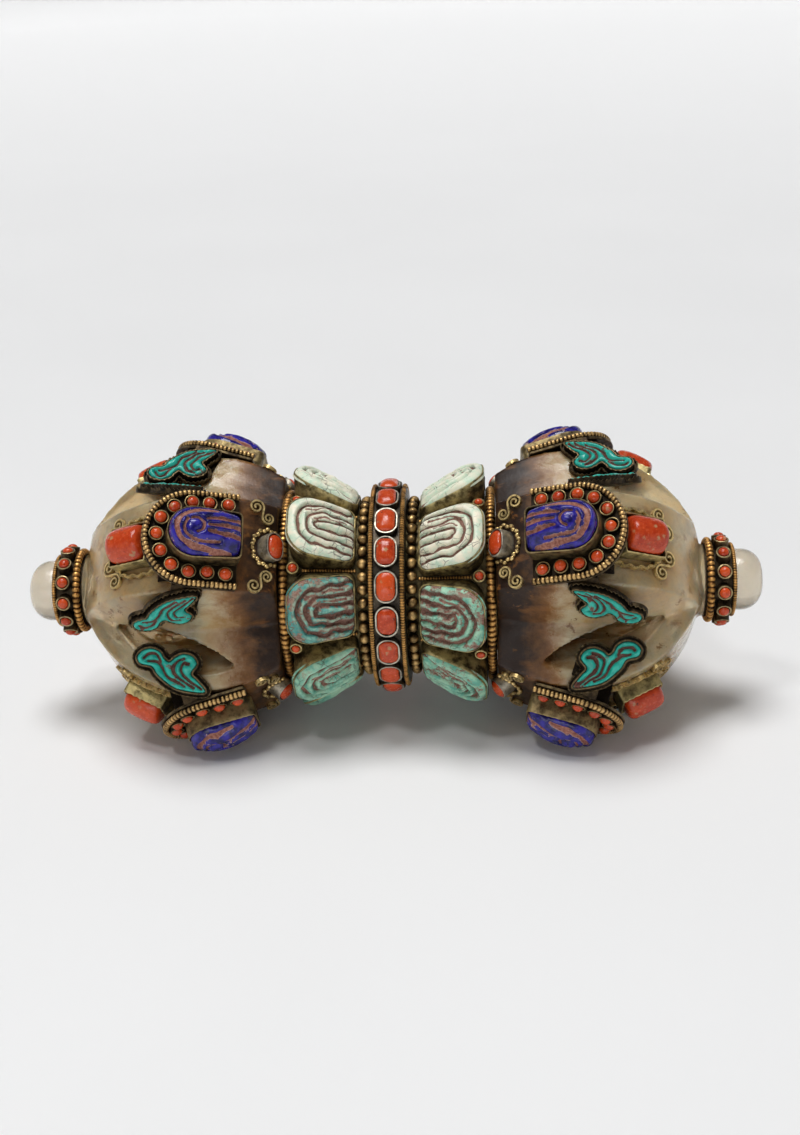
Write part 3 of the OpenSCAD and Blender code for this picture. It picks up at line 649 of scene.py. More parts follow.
def petal_paint():
    """Turquoise that goes with its tone from faded cream over green to red-brown, with painted highlights
    on its crests and grime and painted shade in its corners.
    """
    paint = Paint("petal_turquoise", Specular_IOR_Level=0.4)
    tone = paint.layer("tone")
    cloud = paint.patches(0.35, 0.66, 4.0, 7, 0.65)
    edge = paint.plus(paint.layer("mask"), paint.times(paint.noise(1.0, 7, 0.72), 0.7))
    bare = paint.times(paint.ramp(tone, 0.3, 1.0, 0.15, 0.8), paint.patches(0.36, 0.6, 4.4, 8, 0.7))
    filled = paint.ramp(paint.plus(edge, bare), 0.62, 0.84)
    # Painted highlight along the crests of the relief
    painted_crest_highlight = paint.times(paint.edge(0.505, 0.54), paint.patches(0.35, 0.6, 1.6, 5))
    crack = paint.ramp(paint.cells(3.2, "DISTANCE_TO_EDGE"), 0.0, 0.05, 1.0, 0.0)
    crack = paint.times(crack, paint.patches(0.45, 0.6, 6, 3))
    paint.set("Base Color", paint.coats(
        paint.mix(cloud, (255, 246, 220), (206, 232, 206)),
        (paint.ramp(tone, 0.15, 0.55), paint.mix(cloud, (92, 172, 150), (172, 214, 182))),
        (paint.ramp(tone, 0.8, 1.0), (52, 140, 138)),
        (filled, paint.mix(paint.patches(0.3, 0.7, 0.9, 6, 0.7), (116, 72, 62), (170, 132, 114))),
        (painted_crest_highlight, paint.mix(paint.ramp(tone, 0.2, 0.6), (255, 250, 232), (170, 218, 192)), 0.65),
        (crack, (66, 46, 38), 0.7),
        (paint.patches(0.58, 0.74, 2.2, 8, 0.78), (96, 78, 60), 0.4),
        # Grime and painted shade in the corners
        (paint.corner_shade_and_grime(2.4), (44, 32, 24), 0.8)))
    paint.set("Roughness", paint.ramp(filled, 0.0, 1.0, 0.42, 0.8))
    grain = paint.minus(paint.noise(0.7, 6, 0.7), paint.times(filled, 0.35))
    paint.bump(paint.minus(grain, paint.times(crack, 0.5)), 0.22, 0.8)
    return paint.material


def crystal_paint():
    """Smoky quartz with veils, streaks and stains, darker brown towards the hub, brown painted shade in
    the hollows and corners, and painted highlights along its ridges.
    """
    paint = Paint("rock_crystal", IOR=1.5, Specular_IOR_Level=0.35, Subsurface_Weight=0.65,
                  Subsurface_Scale=0.006, Subsurface_Radius=(1.0, 0.75, 0.5))
    mask = paint.layer("mask")
    murk_and_hollow_shade = paint.plus(mask, paint.times(paint.noise(7, 8, 0.7), 0.5))
    crease = paint.times(paint.edge(0.4, 0.49, 1.0, 0.0), paint.patches(0.35, 0.6, 6, 5))
    # Painted highlight along the ridges where the crystal is clear
    ridge = paint.times(paint.edge(0.515, 0.56, 0.0, 0.6), paint.ramp(murk_and_hollow_shade, 0.3, 0.7, 1.0, 0.0))
    stain = paint.times(paint.patches(0.58, 0.62, 4, 8, 0.72), paint.patches(0.5, 0.58, 24, 3))
    paint.set("Base Color", paint.coats(
        paint.mix(paint.patches(0.34, 0.68, 14, 7, 0.64), (254, 236, 196), (240, 204, 146)),
        (paint.patches(0.5, 0.68, 5, 8, 0.72), (212, 170, 108), 0.4),
        # Darker brown towards the hub, and painted shade on the surfaces deep in the hollows
        (paint.ramp(murk_and_hollow_shade, 0.4, 0.8), (138, 92, 44)),
        (paint.ramp(murk_and_hollow_shade, 0.68, 1.0), (38, 19, 6)),
        (paint.patches(0.55, 0.7, 5, 6, 0.62, 4), (150, 98, 44), 0.55),
        (crease, (78, 48, 20), 0.85),
        (ridge, (244, 234, 212)),
        (paint.patches(0.62, 0.72, 1.8, 8, 0.8), (72, 44, 20), 0.55),
        (stain, (132, 84, 34), 0.8),
        # Grime and painted shade in corners, and deeper painted shade far inside
        (paint.corner_shade_and_grime(5), (70, 46, 26), 0.5),
        (paint.corner_shade_and_grime(18, high=0.7), (70, 48, 28), 0.3),
        (paint.ramp(mask, -0.5, -0.1, 1.0, 0.0), (236, 228, 212), 0.8)))
    paint.set("Transmission Weight", paint.ramp(murk_and_hollow_shade, 0.1, 0.9, 0.8, 0.06))
    polish = paint.ramp(paint.noise(9, 6, 0.65), 0.3, 0.75, 0.04, 0.2)
    paint.set("Roughness", paint.plus(polish, paint.ramp(murk_and_hollow_shade, 0.45, 0.9, 0.0, 0.3)))
    paint.bump(paint.plus(paint.noise(6, 3), paint.noise(1.2, 5)), 0.22, 0.4)
    return paint.material


BRASS = metal("aged_brass", (214, 196, 138), (146, 130, 86), (62, 52, 34), 0.42, 0.6)
PLATE = metal("dark_plate", (166, 146, 102), (88, 72, 50), (42, 34, 25), 0.45, 0.6)
GOLD_STRIP = metal("bright_brass", (250, 220, 152), (214, 178, 114), (98, 76, 48), 0.3, 0.4)
GOLD_WIRE = metal("gold_wire", (222, 170, 98), (166, 114, 58), (60, 36, 18), 0.36)
BORDER_WIRE = metal("border_wire", (220, 182, 120), (146, 110, 64), (48, 33, 20), 0.38)
BRONZE = metal("dark_bronze", (184, 164, 120), (96, 80, 56), (44, 36, 26), 0.4, 0.6)
WING_METAL = metal("wing_bronze", (124, 106, 76), (70, 58, 41), (34, 28, 20), 0.45, 0.7)
SILVER = metal("oxidised_silver", (204, 196, 178), (92, 83, 70), (38, 33, 28), 0.36)
CEMENT = metal("cement", (70, 56, 40), (52, 40, 28), (30, 22, 15), 0.7)
CORAL = coral_paint()
LAPIS = carved_paint("lapis", ridge=(14, 10, 72), light=(52, 44, 156), groove=(120, 64, 52),
                     chip=(184, 128, 108), pale=(228, 194, 176), wear=0.4, gloss=0.1)
PETAL = petal_paint()
TURQUOISE = carved_paint("wing_turquoise", ridge=(20, 156, 140), light=(50, 190, 170), groove=(84, 46, 38),
                         chip=(128, 84, 70), pale=(116, 176, 158), wear=0.52, gloss=0.28)
CRYSTAL = crystal_paint()


# Pieces
def vertex_rows(mesh, key):
    """Three numbers of each vertex."""
    values = np.zeros(len(mesh.vertices) * 3, np.float32)
    mesh.vertices.foreach_get(key, values)
    return values.reshape(-1, 3)


def crystal(side):
    """The solid of the node with its edges worn round and its faces slightly uneven."""
    voxel, soft_share, soft_steps = 0.7, 0.5, 3
    margin, hub_dark_end, hub_dark_len = 4, 70, 26
    hollow_r, hollow_depth = 33, 8
    rough = put("rough_crystal", NODES[f"{side}_crystal"].data.copy())
    remesh = rough.modifiers.new("voxels", "REMESH")
    remesh.mode = "VOXEL"
    remesh.voxel_size = voxel * MM
    soften = rough.modifiers.new("soften", "SMOOTH")
    soften.factor = soft_share
    soften.iterations = soft_steps
    evaluated = rough.evaluated_get(bpy.context.evaluated_depsgraph_get())
    mesh = bpy.data.meshes.new_from_object(evaluated)
    bpy.data.objects.remove(rough)
    points = vertex_rows(mesh, "co").astype(float) / MM
    out = np.abs(points[:, 0])
    seed = {"left": 5, "right": 23}[side]
    free = fade(out - LOTUS_END, margin) * fade(COLLAR_START - out, margin)
    rise = 0.28 * ripple(points, 22, seed) + 0.14 * ripple(points, 8, seed + 1)
    points += vertex_rows(mesh, "normal") * (rise * free)[:, None]
    mesh.vertices.foreach_set("co", (points * MM).astype(np.float32).reshape(-1))
    # Darker brown towards the hub, and painted shade on the surfaces that lie deep inside, near the axis,
    # fading out towards the tip
    hub = fade(hub_dark_end - out, hub_dark_len)
    hollow_shade = fade(hollow_r - np.hypot(points[:, 1], points[:, 2]), hollow_depth)
    hollow_shade *= fade(COLLAR_START - 6 - out, 40)
    clear = fade(out - COLLAR_START, 6)
    shade = {"left": 0, "right": 0.06}[side]
    mask = np.clip(0.7 * hub + 0.4 * hollow_shade, 0, 1) + shade - 0.5 * clear
    layer = mesh.attributes.new("mask", "FLOAT", "POINT")
    layer.data.foreach_set("value", mask.astype(np.float32))
    mesh.shade_smooth()
    place_piece(f"{side}_crystal", mesh, CRYSTAL)


def girdle():
    """Band, beaded wires, oval bezels and corals round the waist."""
    bevel_x, bevel_r = 0.3, 0.4
    band, wires, bezels, corals = shapes(4)
    profile = [(-GIRDLE_END, SLEEVE_BORE_R), (-GIRDLE_END, GIRDLE_R - bevel_r),
               (-GIRDLE_END + bevel_x, GIRDLE_R)]
    profile += [(-x, radius) for x, radius in profile[::-1]]
    band.add(lathe(profile, [0.1, 0.3, 0.3, 0.3, 0.3, 0.1]))
    for x in (-GIRDLE_WIRE_X, GIRDLE_WIRE_X):
        path = ring_path(x, GIRDLE_R + FIT + GIRDLE_WIRE_D / 2)
        wires.add(beaded(path, GIRDLE_WIRE_D, 0.95, X_AXIS, depth=0.3, sides=8), tone=EVEN)
    outline = spaced(box_outline(-3.95, 3.95, 5.575, 3.9), 0.55)
    for i in range(GIRDLE_COUNT):
        seat = turn("x", 360 * (i + 0.5) / GIRDLE_COUNT) @ move(0, 0, GIRDLE_R)
        bezels.add(cup(outline, WALL, bottom=-0.45, top=2.4, floor=0.8), seat)
        lean = turn("x", vary(-3, 3)) @ turn("y", vary(-4, 4))
        stone = spaced(box_outline(-3.3 + vary(0, 0.15), 3.3 - vary(0, 0.15),
                                   4.95 - vary(0, 0.4), vary(2.2, 2.9)), 0.42)
        top = 3.9 + vary(-0.2, 0.15)
        corals.add(dome(stone, base=0.85, rim=2.0, top=top, rows=9, unevenness=0.08), seat @ lean)
    piece("girdle_band", band, SILVER)
    piece("girdle_wires", wires, GOLD_WIRE)
    piece("girdle_bezels", bezels, SILVER)
    piece("girdle_corals", corals, CORAL)


def lotus_r(x):
    return LOTUS_R_IN + (LOTUS_R_OUT - LOTUS_R_IN) * (x - LOTUS_START) / (HUB_WIRE_START - LOTUS_START)


def petal_outline(inset):
    hub_corner, girdle_corner = 8 - inset, 4 - inset
    rise = tan(radians(SECTOR))
    start, end = PETAL_START + inset, PETAL_END - inset
    start_w = lotus_r(PETAL_START) * rise - PETAL_GAP / 2 - inset
    end_w = lotus_r(PETAL_END) * rise - PETAL_GAP / 2 - inset
    corners = [(start, -start_w), (end, -end_w), (end, end_w), (start, start_w)]
    return rounded(corners, [girdle_corner, hub_corner, hub_corner, girdle_corner])


def petal_grooves():
    """Three nested hairpins open towards the girdle, with fine lines between them."""
    pitch, bend_points = 3.1, 9
    curves = []
    for k in range(3):
        tip, half = 9.2 - pitch * k, 7.9 - pitch * k
        sway = vary(-0.3, 0.3, bend_points)
        bend = np.radians(np.linspace(-90, 90, bend_points))
        hairpin = [(-14, -half + sway[0]), (-6, -half + sway[1])]
        hairpin += [(tip - half + half * cos(a), half * sin(a) + s) for a, s in zip(bend, sway)]
        hairpin += [(-6, half + sway[2]), (-14, half + sway[3])]
        curves.append((smooth(hairpin), 1.0))
        line = half - 1.5 + vary(-0.3, 0.3)
        if k < 2:
            start = vary(-9, -3)
            fine = [(start, line), (0, line), (tip - half + line * 0.7, line * 0.7)]
            curves.append((smooth(fine), 0.6))
    return curves


def petal_height(x, y):
    return 3.6 - (np.square(x) + np.square(y)) / 90


# Rows of a petal bezel's wall: share of its thickness, share of its height, rubbed bright or not
PETAL_ROWS = [(0, 0, 0.25), (0, 0.3, 0.5), (0, 0.6, 0.6), (0, 0.85, 0.65), (0, 0.97, 0.75), (0.15, 1, 0.9),
              (0.6, 1, 0.6), (1, 0.96, 0.3)]
PETAL_TONES = {"left": (0.2, 0.05, 0.95, 0.55, 0.5, 0.7, 0.4, 0.3),
               "right": (0.25, 0.15, 0.75, 0.6, 0.45, 0.8, 0.5, 0.35)}


def petal_bezel(outline):
    """Deep box from the collar up to a sloping rim, slightly hammered."""
    floor_drop, sunk, dent = 2.2, 0.2, 0.12
    slope = tan(radians(PETAL_SLOPE))
    seed = new_seed()
    foot = np.sqrt(np.maximum(lotus_r(outline[:, 0]) ** 2 - outline[:, 1] ** 2, 0)) - sunk
    loops = []
    for inset, up, _ in PETAL_ROWS:
        plan = grown(outline, -WALL * inset)
        rim = PETAL_RIM_R + (plan[:, 0] - PETAL_MID) * slope
        z = foot + (rim - foot) * up
        room = z * tan(radians(SECTOR)) - PETAL_GAP / 2
        loops.append(columns([plan[:, 0], np.clip(plan[:, 1], -room, room), z]))
    inner = grown(outline, -WALL)
    loops.append(level(inner, PETAL_RIM_R + (inner[:, 0] - PETAL_MID) * slope - floor_drop))
    points, faces, mask = loft(loops, [rubbed for _, _, rubbed in PETAL_ROWS] + [0])
    out = unit(points[:, :2] - np.array([PETAL_MID, 0]))
    points[:, :2] += out * (dent * ripple(points, 7, seed) - dent)[:, None]
    return points, faces, mask


def granule(arc, size):
    loops = [level(circle(size * cos(a), 16), size * sin(a)) for a in arc]
    return loft(loops, 0.35 + 0.5 * np.sin(np.maximum(arc, 0)))


def lotus(side):
    """Collar with petals, small corals between them, and its wires and granules."""
    half = HALVES[side]
    collar, studs, dividers, bezels, stones, granules, wire = shapes(7)
    profile = [(LOTUS_START, SLEEVE_BORE_R), (LOTUS_START, LOTUS_R_IN), (HUB_WIRE_START, LOTUS_R_OUT),
               (LOTUS_END, LOTUS_R_OUT), (LOTUS_END, SLEEVE_BORE_R)]
    collar.add(lathe(profile, 0.2), half)
    ground = spaced(petal_outline(0), 0.5)
    gem = petal_outline(WALL / 2) - [PETAL_MID, 0]
    gem[:, 0] /= cos(radians(PETAL_SLOPE))
    rim_frame = move(PETAL_MID, 0, PETAL_RIM_R) @ turn("y", -PETAL_SLOPE)
    divider_end = STUD_X - STUD_D / 2 - PETAL_END_GAP
    divider_path = [(x, 0, lotus_r(x) + FIT + DIVIDER_D / 2) for x in (PETAL_START, divider_end)]
    for i in range(PETAL_COUNT):
        gap = half @ turn("x", LOTUS_TURN[side] + SECTOR * (2 * i + 1))
        collet = cup(circle(STUD_D / 2, 24), WALL, bottom=30.5, top=STUD_RIM_R, floor=33)
        collar.add(collet, gap @ move(STUD_X, 0, 0))
        lean = turn("x", vary(-6, 6))
        studs.add(dome(circle(1.45, 18), base=-1.9, rim=1.6, top=2.8),
                  gap @ move(STUD_X, 0, STUD_STONE_R) @ lean)
        divider = beaded(divider_path, DIVIDER_D, 0.95, Z_AXIS, depth=0.35, sides=8, closed=False)
        dividers.add(divider, gap, EVEN)
        petal = half @ turn("x", LOTUS_TURN[side] + 2 * SECTOR * i)
        bezels.add(petal_bezel(ground), petal)
        stone = carved(gem, -0.6, petal_height, petal_grooves(), step=0.34, depth=2.0, width=1.05,
                       line=0.36, edge=3.0, warp=0.9)
        stones.add(stone, petal @ rim_frame, PETAL_TONES[side][i])
    arc = np.linspace(-1.45, 1.45, 9)
    for i in range(GRANULE_COUNT):
        seat = move(GRANULE_X, 0, lotus_r(GRANULE_X) + GRANULE_D / 2 + GRANULE_GAP)
        size = GRANULE_D / 2 * vary(0.9, 1.0)
        granules.add(granule(arc, size), half @ turn("x", 360 * i / GRANULE_COUNT) @ seat)
    hub_path = ring_path(HUB_WIRE_X, LOTUS_R_OUT + FIT + HUB_WIRE_D / 2)
    wire.add(beaded(hub_path, HUB_WIRE_D, 2.0, X_AXIS, depth=0.3, sides=14), half, EVEN)
    piece(f"{side}_lotus_collar", collar, BRASS)
    piece(f"{side}_stud_corals", studs, CORAL)
    piece(f"{side}_divider_wires", dividers, GOLD_WIRE)
    piece(f"{side}_petal_bezels", bezels, BRASS)
    piece(f"{side}_petal_stones", stones, PETAL, sharp=80)
    piece(f"{side}_granule_ring", granules, BORDER_WIRE)
    piece(f"{side}_hub_wire", wire, GOLD_WIRE)


def clasps(side):
    """Tilted oval corals over the hub wire, each with a beaded halo on the crystal."""
    bezels, corals, halos = shapes(3)
    outline = spaced(box_outline(-3.75, 3.75, 4.95, 3.7), 0.5)
    stone = spaced(box_outline(-3.05, 3.05, 4.2, 2.9), 0.42)
    angles = np.radians(np.linspace(-125, 125, 90))
    swell = 1 + 0.05 * np.cos(angles * 12)
    plan = columns([5.4 * np.cos(angles) * swell + 0.6, 6.4 * np.sin(angles) * swell])
    path = level(plan, bulb_drop(plan[:, 0]) + 0.55)
    for prong in each_prong(side):
        bezels.add(cup(outline, WALL, bottom=-1.4, top=3.6, floor=1.2, shine=0.85), prong @ CLASP)
        lean = turn("x", vary(-4, 4)) @ turn("y", vary(-4, 4))
        corals.add(dome(stone, base=1.25, rim=3.1, top=5.0, rows=9, unevenness=0.08), prong @ CLASP @ lean)
        halo = beaded(path, 1.45, 1.5, Z_AXIS, depth=0.4, sides=9, closed=False)
        halos.add(halo, prong @ on_bulb(-CLASP_SEAT), EVEN)
    piece(f"{side}_clasp_bezels", bezels, SILVER)
    piece(f"{side}_clasp_corals", corals, CORAL)
    piece(f"{side}_clasp_halos", halos, GOLD_STRIP)


def collar_at(x):
    return COLLAR_R + COLLAR_FLARE * (COLLAR_END - x) / COLLAR_LEN


def end_collar(side):
    """Band with collets and corals at the neck, between a thick and a thin beaded wire."""
    half = HALVES[side]
    band, corals, wires = shapes(3)
    band.add(lathe([(COLLAR_START, COLLAR_BORE_R), (COLLAR_START, collar_at(COLLAR_START)),
                    (COLLAR_END, COLLAR_R), (COLLAR_END, COLLAR_BORE_R)], 0.15, count=96), half)
    thick_x = COLLAR_START + 0.2 + END_THICK_D / 2
    thin_x = COLLAR_END - 0.1 - END_THIN_D / 2
    seat_x = (thick_x + END_THICK_D / 2 + thin_x - END_THIN_D / 2) / 2
    for i in range(COLLAR_COUNT):
        seat = half @ turn("x", 360 * i / COLLAR_COUNT) @ move(seat_x, 0, 0)
        band.add(cup(circle(2.6, 26), WALL, bottom=11.5, top=15.6, floor=12.65), seat)
        stone = circle(1.95 * vary(0.94, 1.0), 20)
        corals.add(dome(stone, base=12.7, rim=15.4, top=16.7), seat)
    thick_path = ring_path(thick_x, collar_at(thick_x) + FIT + END_THICK_D / 2)
    thin_path = ring_path(thin_x, collar_at(thin_x) + FIT + END_THIN_D / 2)
    wires.add(beaded(thick_path, END_THICK_D, 1.85, X_AXIS, depth=0.45, sides=12), half, EVEN)
    wires.add(beaded(thin_path, END_THIN_D, 0.87, X_AXIS, depth=0.3, sides=9), half, EVEN)
    piece(f"{side}_end_collar", band, BRONZE)
    piece(f"{side}_end_corals", corals, CORAL)
    piece(f"{side}_end_wires", wires, GOLD_WIRE)


def horseshoe_seats():
    """Places of the eleven corals round the lapis stone."""
    radius, run = 12.3, 11.2
    pitch = (pi * radius + 2 * run) / 10
    for i in range(-5, 6):
        past = abs(i) * pitch - pi * radius / 2
        if past < 0:
            yield radius * cos(i * pitch / radius), radius * sin(i * pitch / radius)
        else:
            yield -past, copysign(radius, i)


LAPIS_OUTLINE = rounded([(8.6, -9.0), (8.6, 9.0), (-15.2, 7.6), (-15.2, -7.6)], [8.6, 8.6, 1.4, 1.4], 14)


def lapis_height(x, y):
    crown_r, long_r, top = 9.8, 24.0, PLAQUE_SHEET + LAPIS_BEZEL_H + 6.2
    ridge = long_r - crown_r + np.sqrt(crown_r**2 - np.minimum(np.square(y), 88))
    return top - long_r + np.sqrt(np.square(ridge) - np.square(x + 2.3))


def lapis_grooves():
    """A broad crescent round the head, a ring like an eye, and wedges that open towards the hub."""
    sway = vary(-0.4, 0.4, 12)
    curves = []
    for inset in (0.0, 0.7):
        outer = [(-12, -7.0), (-4, -7.2 + inset), (2, -6.2 + inset), (5.4 - inset, -3.6),
                 (6.8 - inset, 0.4 + sway[0]), (5.0 - inset, 4.2), (0.5, 6.6 - inset), (-7, 7.0)]
        curves.append((smooth(outer), 1.0))
    second = [(-8, -4.8 + sway[1]), (-2, -4.8), (2.2, -3.6 + sway[2]), (3.8, -0.6), (3.0, 2.4)]
    eye = [(1.4, 2.9), (-0.8, 2.9), (-2.4, 1.4 + sway[3]), (-2.0, -0.8), (-0.4, -1.8)]
    curves += [(smooth(second), 0.9), (smooth(eye), 1.0)]
    for k, (y, start) in enumerate([(3.9, -3.2), (1.2, -4.6), (-1.7, -4.2)]):
        head = (start + sway[4 + k], y * 0.8)
        for spread in (-0.3, 0.3):
            curves.append((smooth([head, (-9, y + 0.7 * spread), (-16, 1.08 * y + spread)]), 1.0))
    return curves


def plaques(side):
    """Plates with their collets, border wires, lapis stones and corals."""
    bevel, border_inset, end_r, head_r = 0.3, 1.1, 0.8, PLAQUE_R - FIT
    sheet = PLAQUE_SHEET
    edge = rounded([(-PLAQUE_STRAIGHT, -PLAQUE_R), (PLAQUE_R, -PLAQUE_R), (PLAQUE_R, PLAQUE_R),
                    (-PLAQUE_STRAIGHT, PLAQUE_R)], [end_r, head_r, head_r, end_r], 28)
    plate_sheet = loft([level(grown(edge, -bevel), 0), level(edge, 0.25), level(edge, sheet - 0.25),
                        level(grown(edge, -bevel), sheet)], [0.1, 0.6, 0.6, 0.05])
    border_r = PLAQUE_R - border_inset
    head = border_r * spokes(np.linspace(-pi / 2, pi / 2, 60))
    line = np.vstack([(-PLAQUE_STRAIGHT, -border_r), head, (-PLAQUE_STRAIGHT, border_r)])
    line = level(line, sheet + FIT + border_inset)
    wall = spaced(grown(spaced(LAPIS_OUTLINE, 0.5), WALL + FIT), 0.5)
    collet = circle(2.5, 26)
    strap = box_outline(2.2, 7.7, 3.25, 0.4)
    borders, stones, corals = shapes(3)
    for name, angle in PRONGS.items():
        place = HALVES[side] @ turn("x", angle) @ PLAQUE
        plate = Shape()
        plate.add(plate_sheet, place, EVEN)
        plate.add(cup(wall, WALL, bottom=sheet - 0.1, top=sheet + LAPIS_BEZEL_H, floor=sheet + 0.1,
                      wave=0.05, shine=0.8), place)
        for x, y in horseshoe_seats():
            seat = place @ move(x, y, 0)
            plate.add(cup(collet, 0.45, bottom=sheet - 0.1, top=sheet + 2.4, floor=sheet + 0.6), seat)
            lean = turn("x", vary(-7, 7)) @ turn("y", vary(-7, 7))
            stone = circle(2.03 * vary(0.95, 1.0), 20)
            top = sheet + 3.7 + vary(-0.2, 0.1)
            corals.add(dome(stone, base=sheet + 0.65, rim=sheet + 2.0, top=top), seat @ lean)
        for flip in FLIPS:
            plate.add(loft([level(strap, -1), level(strap, -0.8), level(strap, -0.05)], [0.1, 0.4, 0.3]),
                      place @ flip @ WING @ move(0, 3.25, 0))
        piece(f"{side}_{name}_plaque", plate, PLATE)
        border = beaded(line, 2 * border_inset, 1.5, Z_AXIS, depth=0.34, sides=12, closed=False)
        borders.add(border, place, EVEN)
        stones.add(carved(LAPIS_OUTLINE, sheet + 0.2, lapis_height, lapis_grooves(), step=0.32, depth=1.5,
                          width=0.75, line=0.46, edge=1.8, warp=0.35), place)
    piece(f"{side}_border_wires", borders, BORDER_WIRE)
    piece(f"{side}_lapis_stones", stones, LAPIS, sharp=80)
    piece(f"{side}_horseshoe_corals", corals, CORAL)


WING_SCALE = 22.8 / 20.4
WING_SPIN = 16
WING_POINTS = [
    (0, 2), (2.3, 5.4), (4.2, 7.7), (2.4, 10.6), (3.8, 13), (6.6, 13.7), (9.2, 12.6), (10.6, 11.4),
    (12.2, 12.4), (13.4, 14.4), (15.9, 15.6), (18.8, 15), (20.4, 13), (19.4, 11), (16, 10), (14.3, 7.5),
    (10.2, 4), (5.8, 2.4)]
WING_GROOVES = [
    [(1.2, 2.9), (5.0, 5.6), (7.2, 8.2), (6.4, 10.8), (4.8, 10.6)],
    [(3.6, 3.2), (8.0, 6.2), (9.4, 9.2), (8.2, 11.6), (6.2, 12.2)],
    [(6.4, 3.6), (10.4, 6.4), (12.4, 9.6), (14.6, 11.4), (17.4, 11.8)],
    [(13.4, 11.4), (15.0, 13.6), (17.2, 14.0), (18.6, 12.8)]]


def wing_height(x, y):
    return 3.25 + 0.1 * np.sin(x * 0.6) * np.cos(y * 0.5)


def ragged_tray(outline):
    """Torn and folded sheet left round a bezel."""
    seed = new_seed()
    sheet, rim_from = 0.5, 0.5
    way = spaced(grown(outline, 0.8), 0.4)
    teeth = 0.35 * np.cos(np.arange(len(way)) * pi / 2) + 0.6 * ripple(way, 5, seed)
    points, faces, mask = cup(grown(way, sheet), sheet, bottom=-0.5, top=1.1, floor=0.1)
    points[:, 2] += np.where(points[:, 2] > rim_from, np.resize(teeth, len(points)), 0)
    return points, faces, 0.3 + 0.6 * mask


def wings(side):
    """Carved stones in their bezels and torn trays, two on each plaque."""
    bezels, stones = shapes(2)
    spin = plan_turn(WING_SPIN)
    outline = (WING_SCALE * smooth(WING_POINTS, closed=True) @ spin)[::-1]
    grooves = [(smooth(WING_SCALE * np.array(curve) @ spin), 1.0) for curve in WING_GROOVES]
    rim = spaced(grown(spaced(outline, 0.5), 0.62), 0.45)
    for prong in each_prong(side):
        for flip in FLIPS:
            place = prong @ PLAQUE @ flip @ WING
            bezels.add(cup(rim, 0.57, bottom=FIT, top=2.65, floor=1.05, wave=0.16), place)
            bezels.add(ragged_tray(rim), place)
            stones.add(carved(outline, 1.1, wing_height, grooves, step=0.3, depth=1.3, width=0.7, line=0.5,
                              edge=1.3, warp=0.75), place)
    piece(f"{side}_wing_bezels", bezels, WING_METAL)
    piece(f"{side}_wing_stones", stones, TURQUOISE, sharp=80)


def barrel_coral():
    """Bead sunk into its bezel, with softly broken ends."""
    radius, centre, floor, sunk_angle = 6.45, 4.1, 1.06, 0.48
    arc = spokes(np.linspace(-sunk_angle, pi + sunk_angle, 48))
    ends = [(7, 0.5), (6.9, 0.66), (6.55, 0.79), (5.9, 0.89), (4.7, 0.96), (3, 0.99)]
    loops = []
    for x, share in [(-x, share) for x, share in ends] + [(0, 1.01)] + ends[::-1]:
        loops.append([(x, y * radius * share, max(floor, centre + z * radius * share)) for y, z in arc])
    points, faces, mask = loft(loops)
    points[:, 2] += 0.32 * ripple(points, 6, new_seed()) * (points[:, 2] > 4)
    return points, faces, mask


# One half of the waved strip round a barrel coral, from the plaque to the tip
FRAME_POINTS = [(-9.5, -9.0), (-4, -10.2), (3, -9.6), (7.4, -6.6), (9.6, -2.6)]


def barrels(side):
    """Barrel corals in tall bezels, each inside a waved strip."""
    bezels, corals, frames = shapes(3)
    outline = spaced(box_outline(-7.65, 7.65, 7.15, 0.8), 0.6)
    way = smooth(FRAME_POINTS + [(10.0, 0)] + [(x, -y) for x, y in FRAME_POINTS[::-1]], 24)
    way = way * (1 + 0.035 * np.sin(np.linspace(0, 1, len(way)) * 110))[:, None]
    frame_path = level(way, bulb_drop(way[:, 0]))
    for prong in each_prong(side):
        place = prong @ BARREL
        points, faces, mask = cup(outline, WALL, bottom=-0.6, top=5.4, floor=1.0, wave=0.14, shine=0.85)
        low = points[:, 2] < 0
        points[low, 2] = bulb_drop(points[low, 0]) + FIT
        bezels.add((points, faces, mask), place)
        corals.add(barrel_coral(), place)
        frames.add(strip(frame_path, 1.7, 0.8), place, EVEN)
    piece(f"{side}_barrel_bezels", bezels, BRASS)
    piece(f"{side}_barrel_corals", corals, CORAL)
    piece(f"{side}_barrel_frames", frames, GOLD_STRIP)


def opposed_curls(first_r, second_r, gap):
    """Plan path between the eyes of two curls that wind opposite ways."""
    winds, eye = 1.7, 0.16
    run = np.linspace(0, 1, 44)
    out = 2 * pi * winds * (1 - run)
    back = 2 * pi * winds * run
    first = (first_r * (eye + (1 - eye) * run))[:, None] * spokes(-out)
    second = (second_r * (1 - (1 - eye) * run))[:, None] * columns([-np.cos(back), np.sin(back)])
    return np.vstack([first, second + [first_r + second_r, gap]])


# Places of the curled strips beside a barrel coral and beside a clasp
SCROLLS = [
    {"seat": 41.5, "y": 4.4, "spin": 87, "curls": (2.9, 2.8, 3.8)},
    {"seat": -25, "y": 14.2, "spin": -172, "curls": (2.6, 2.2, 3.0)}]


def scrolls(side):
    """The curled strips of a half."""
    shape = Shape()
    for prong in each_prong(side):
        for flip in FLIPS:
            for scroll in SCROLLS:
                plan = opposed_curls(*scroll["curls"]) @ plan_turn(scroll["spin"]) + [0, scroll["y"]]
                path = level(plan, bulb_drop(plan[:, 0]) + FIT)
                shape.add(strip(path, 1.2, 0.62), prong @ flip @ on_bulb(scroll["seat"]), EVEN)
    piece(f"{side}_scrolls", shape, GOLD_STRIP)


def inner_pieces():
    """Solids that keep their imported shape."""
    for name, node in NODES.items():
        if node.hide_render:
            continue
        node.data.materials.clear()
        node.data.materials.append(CEMENT if "cement" in name else BRASS)


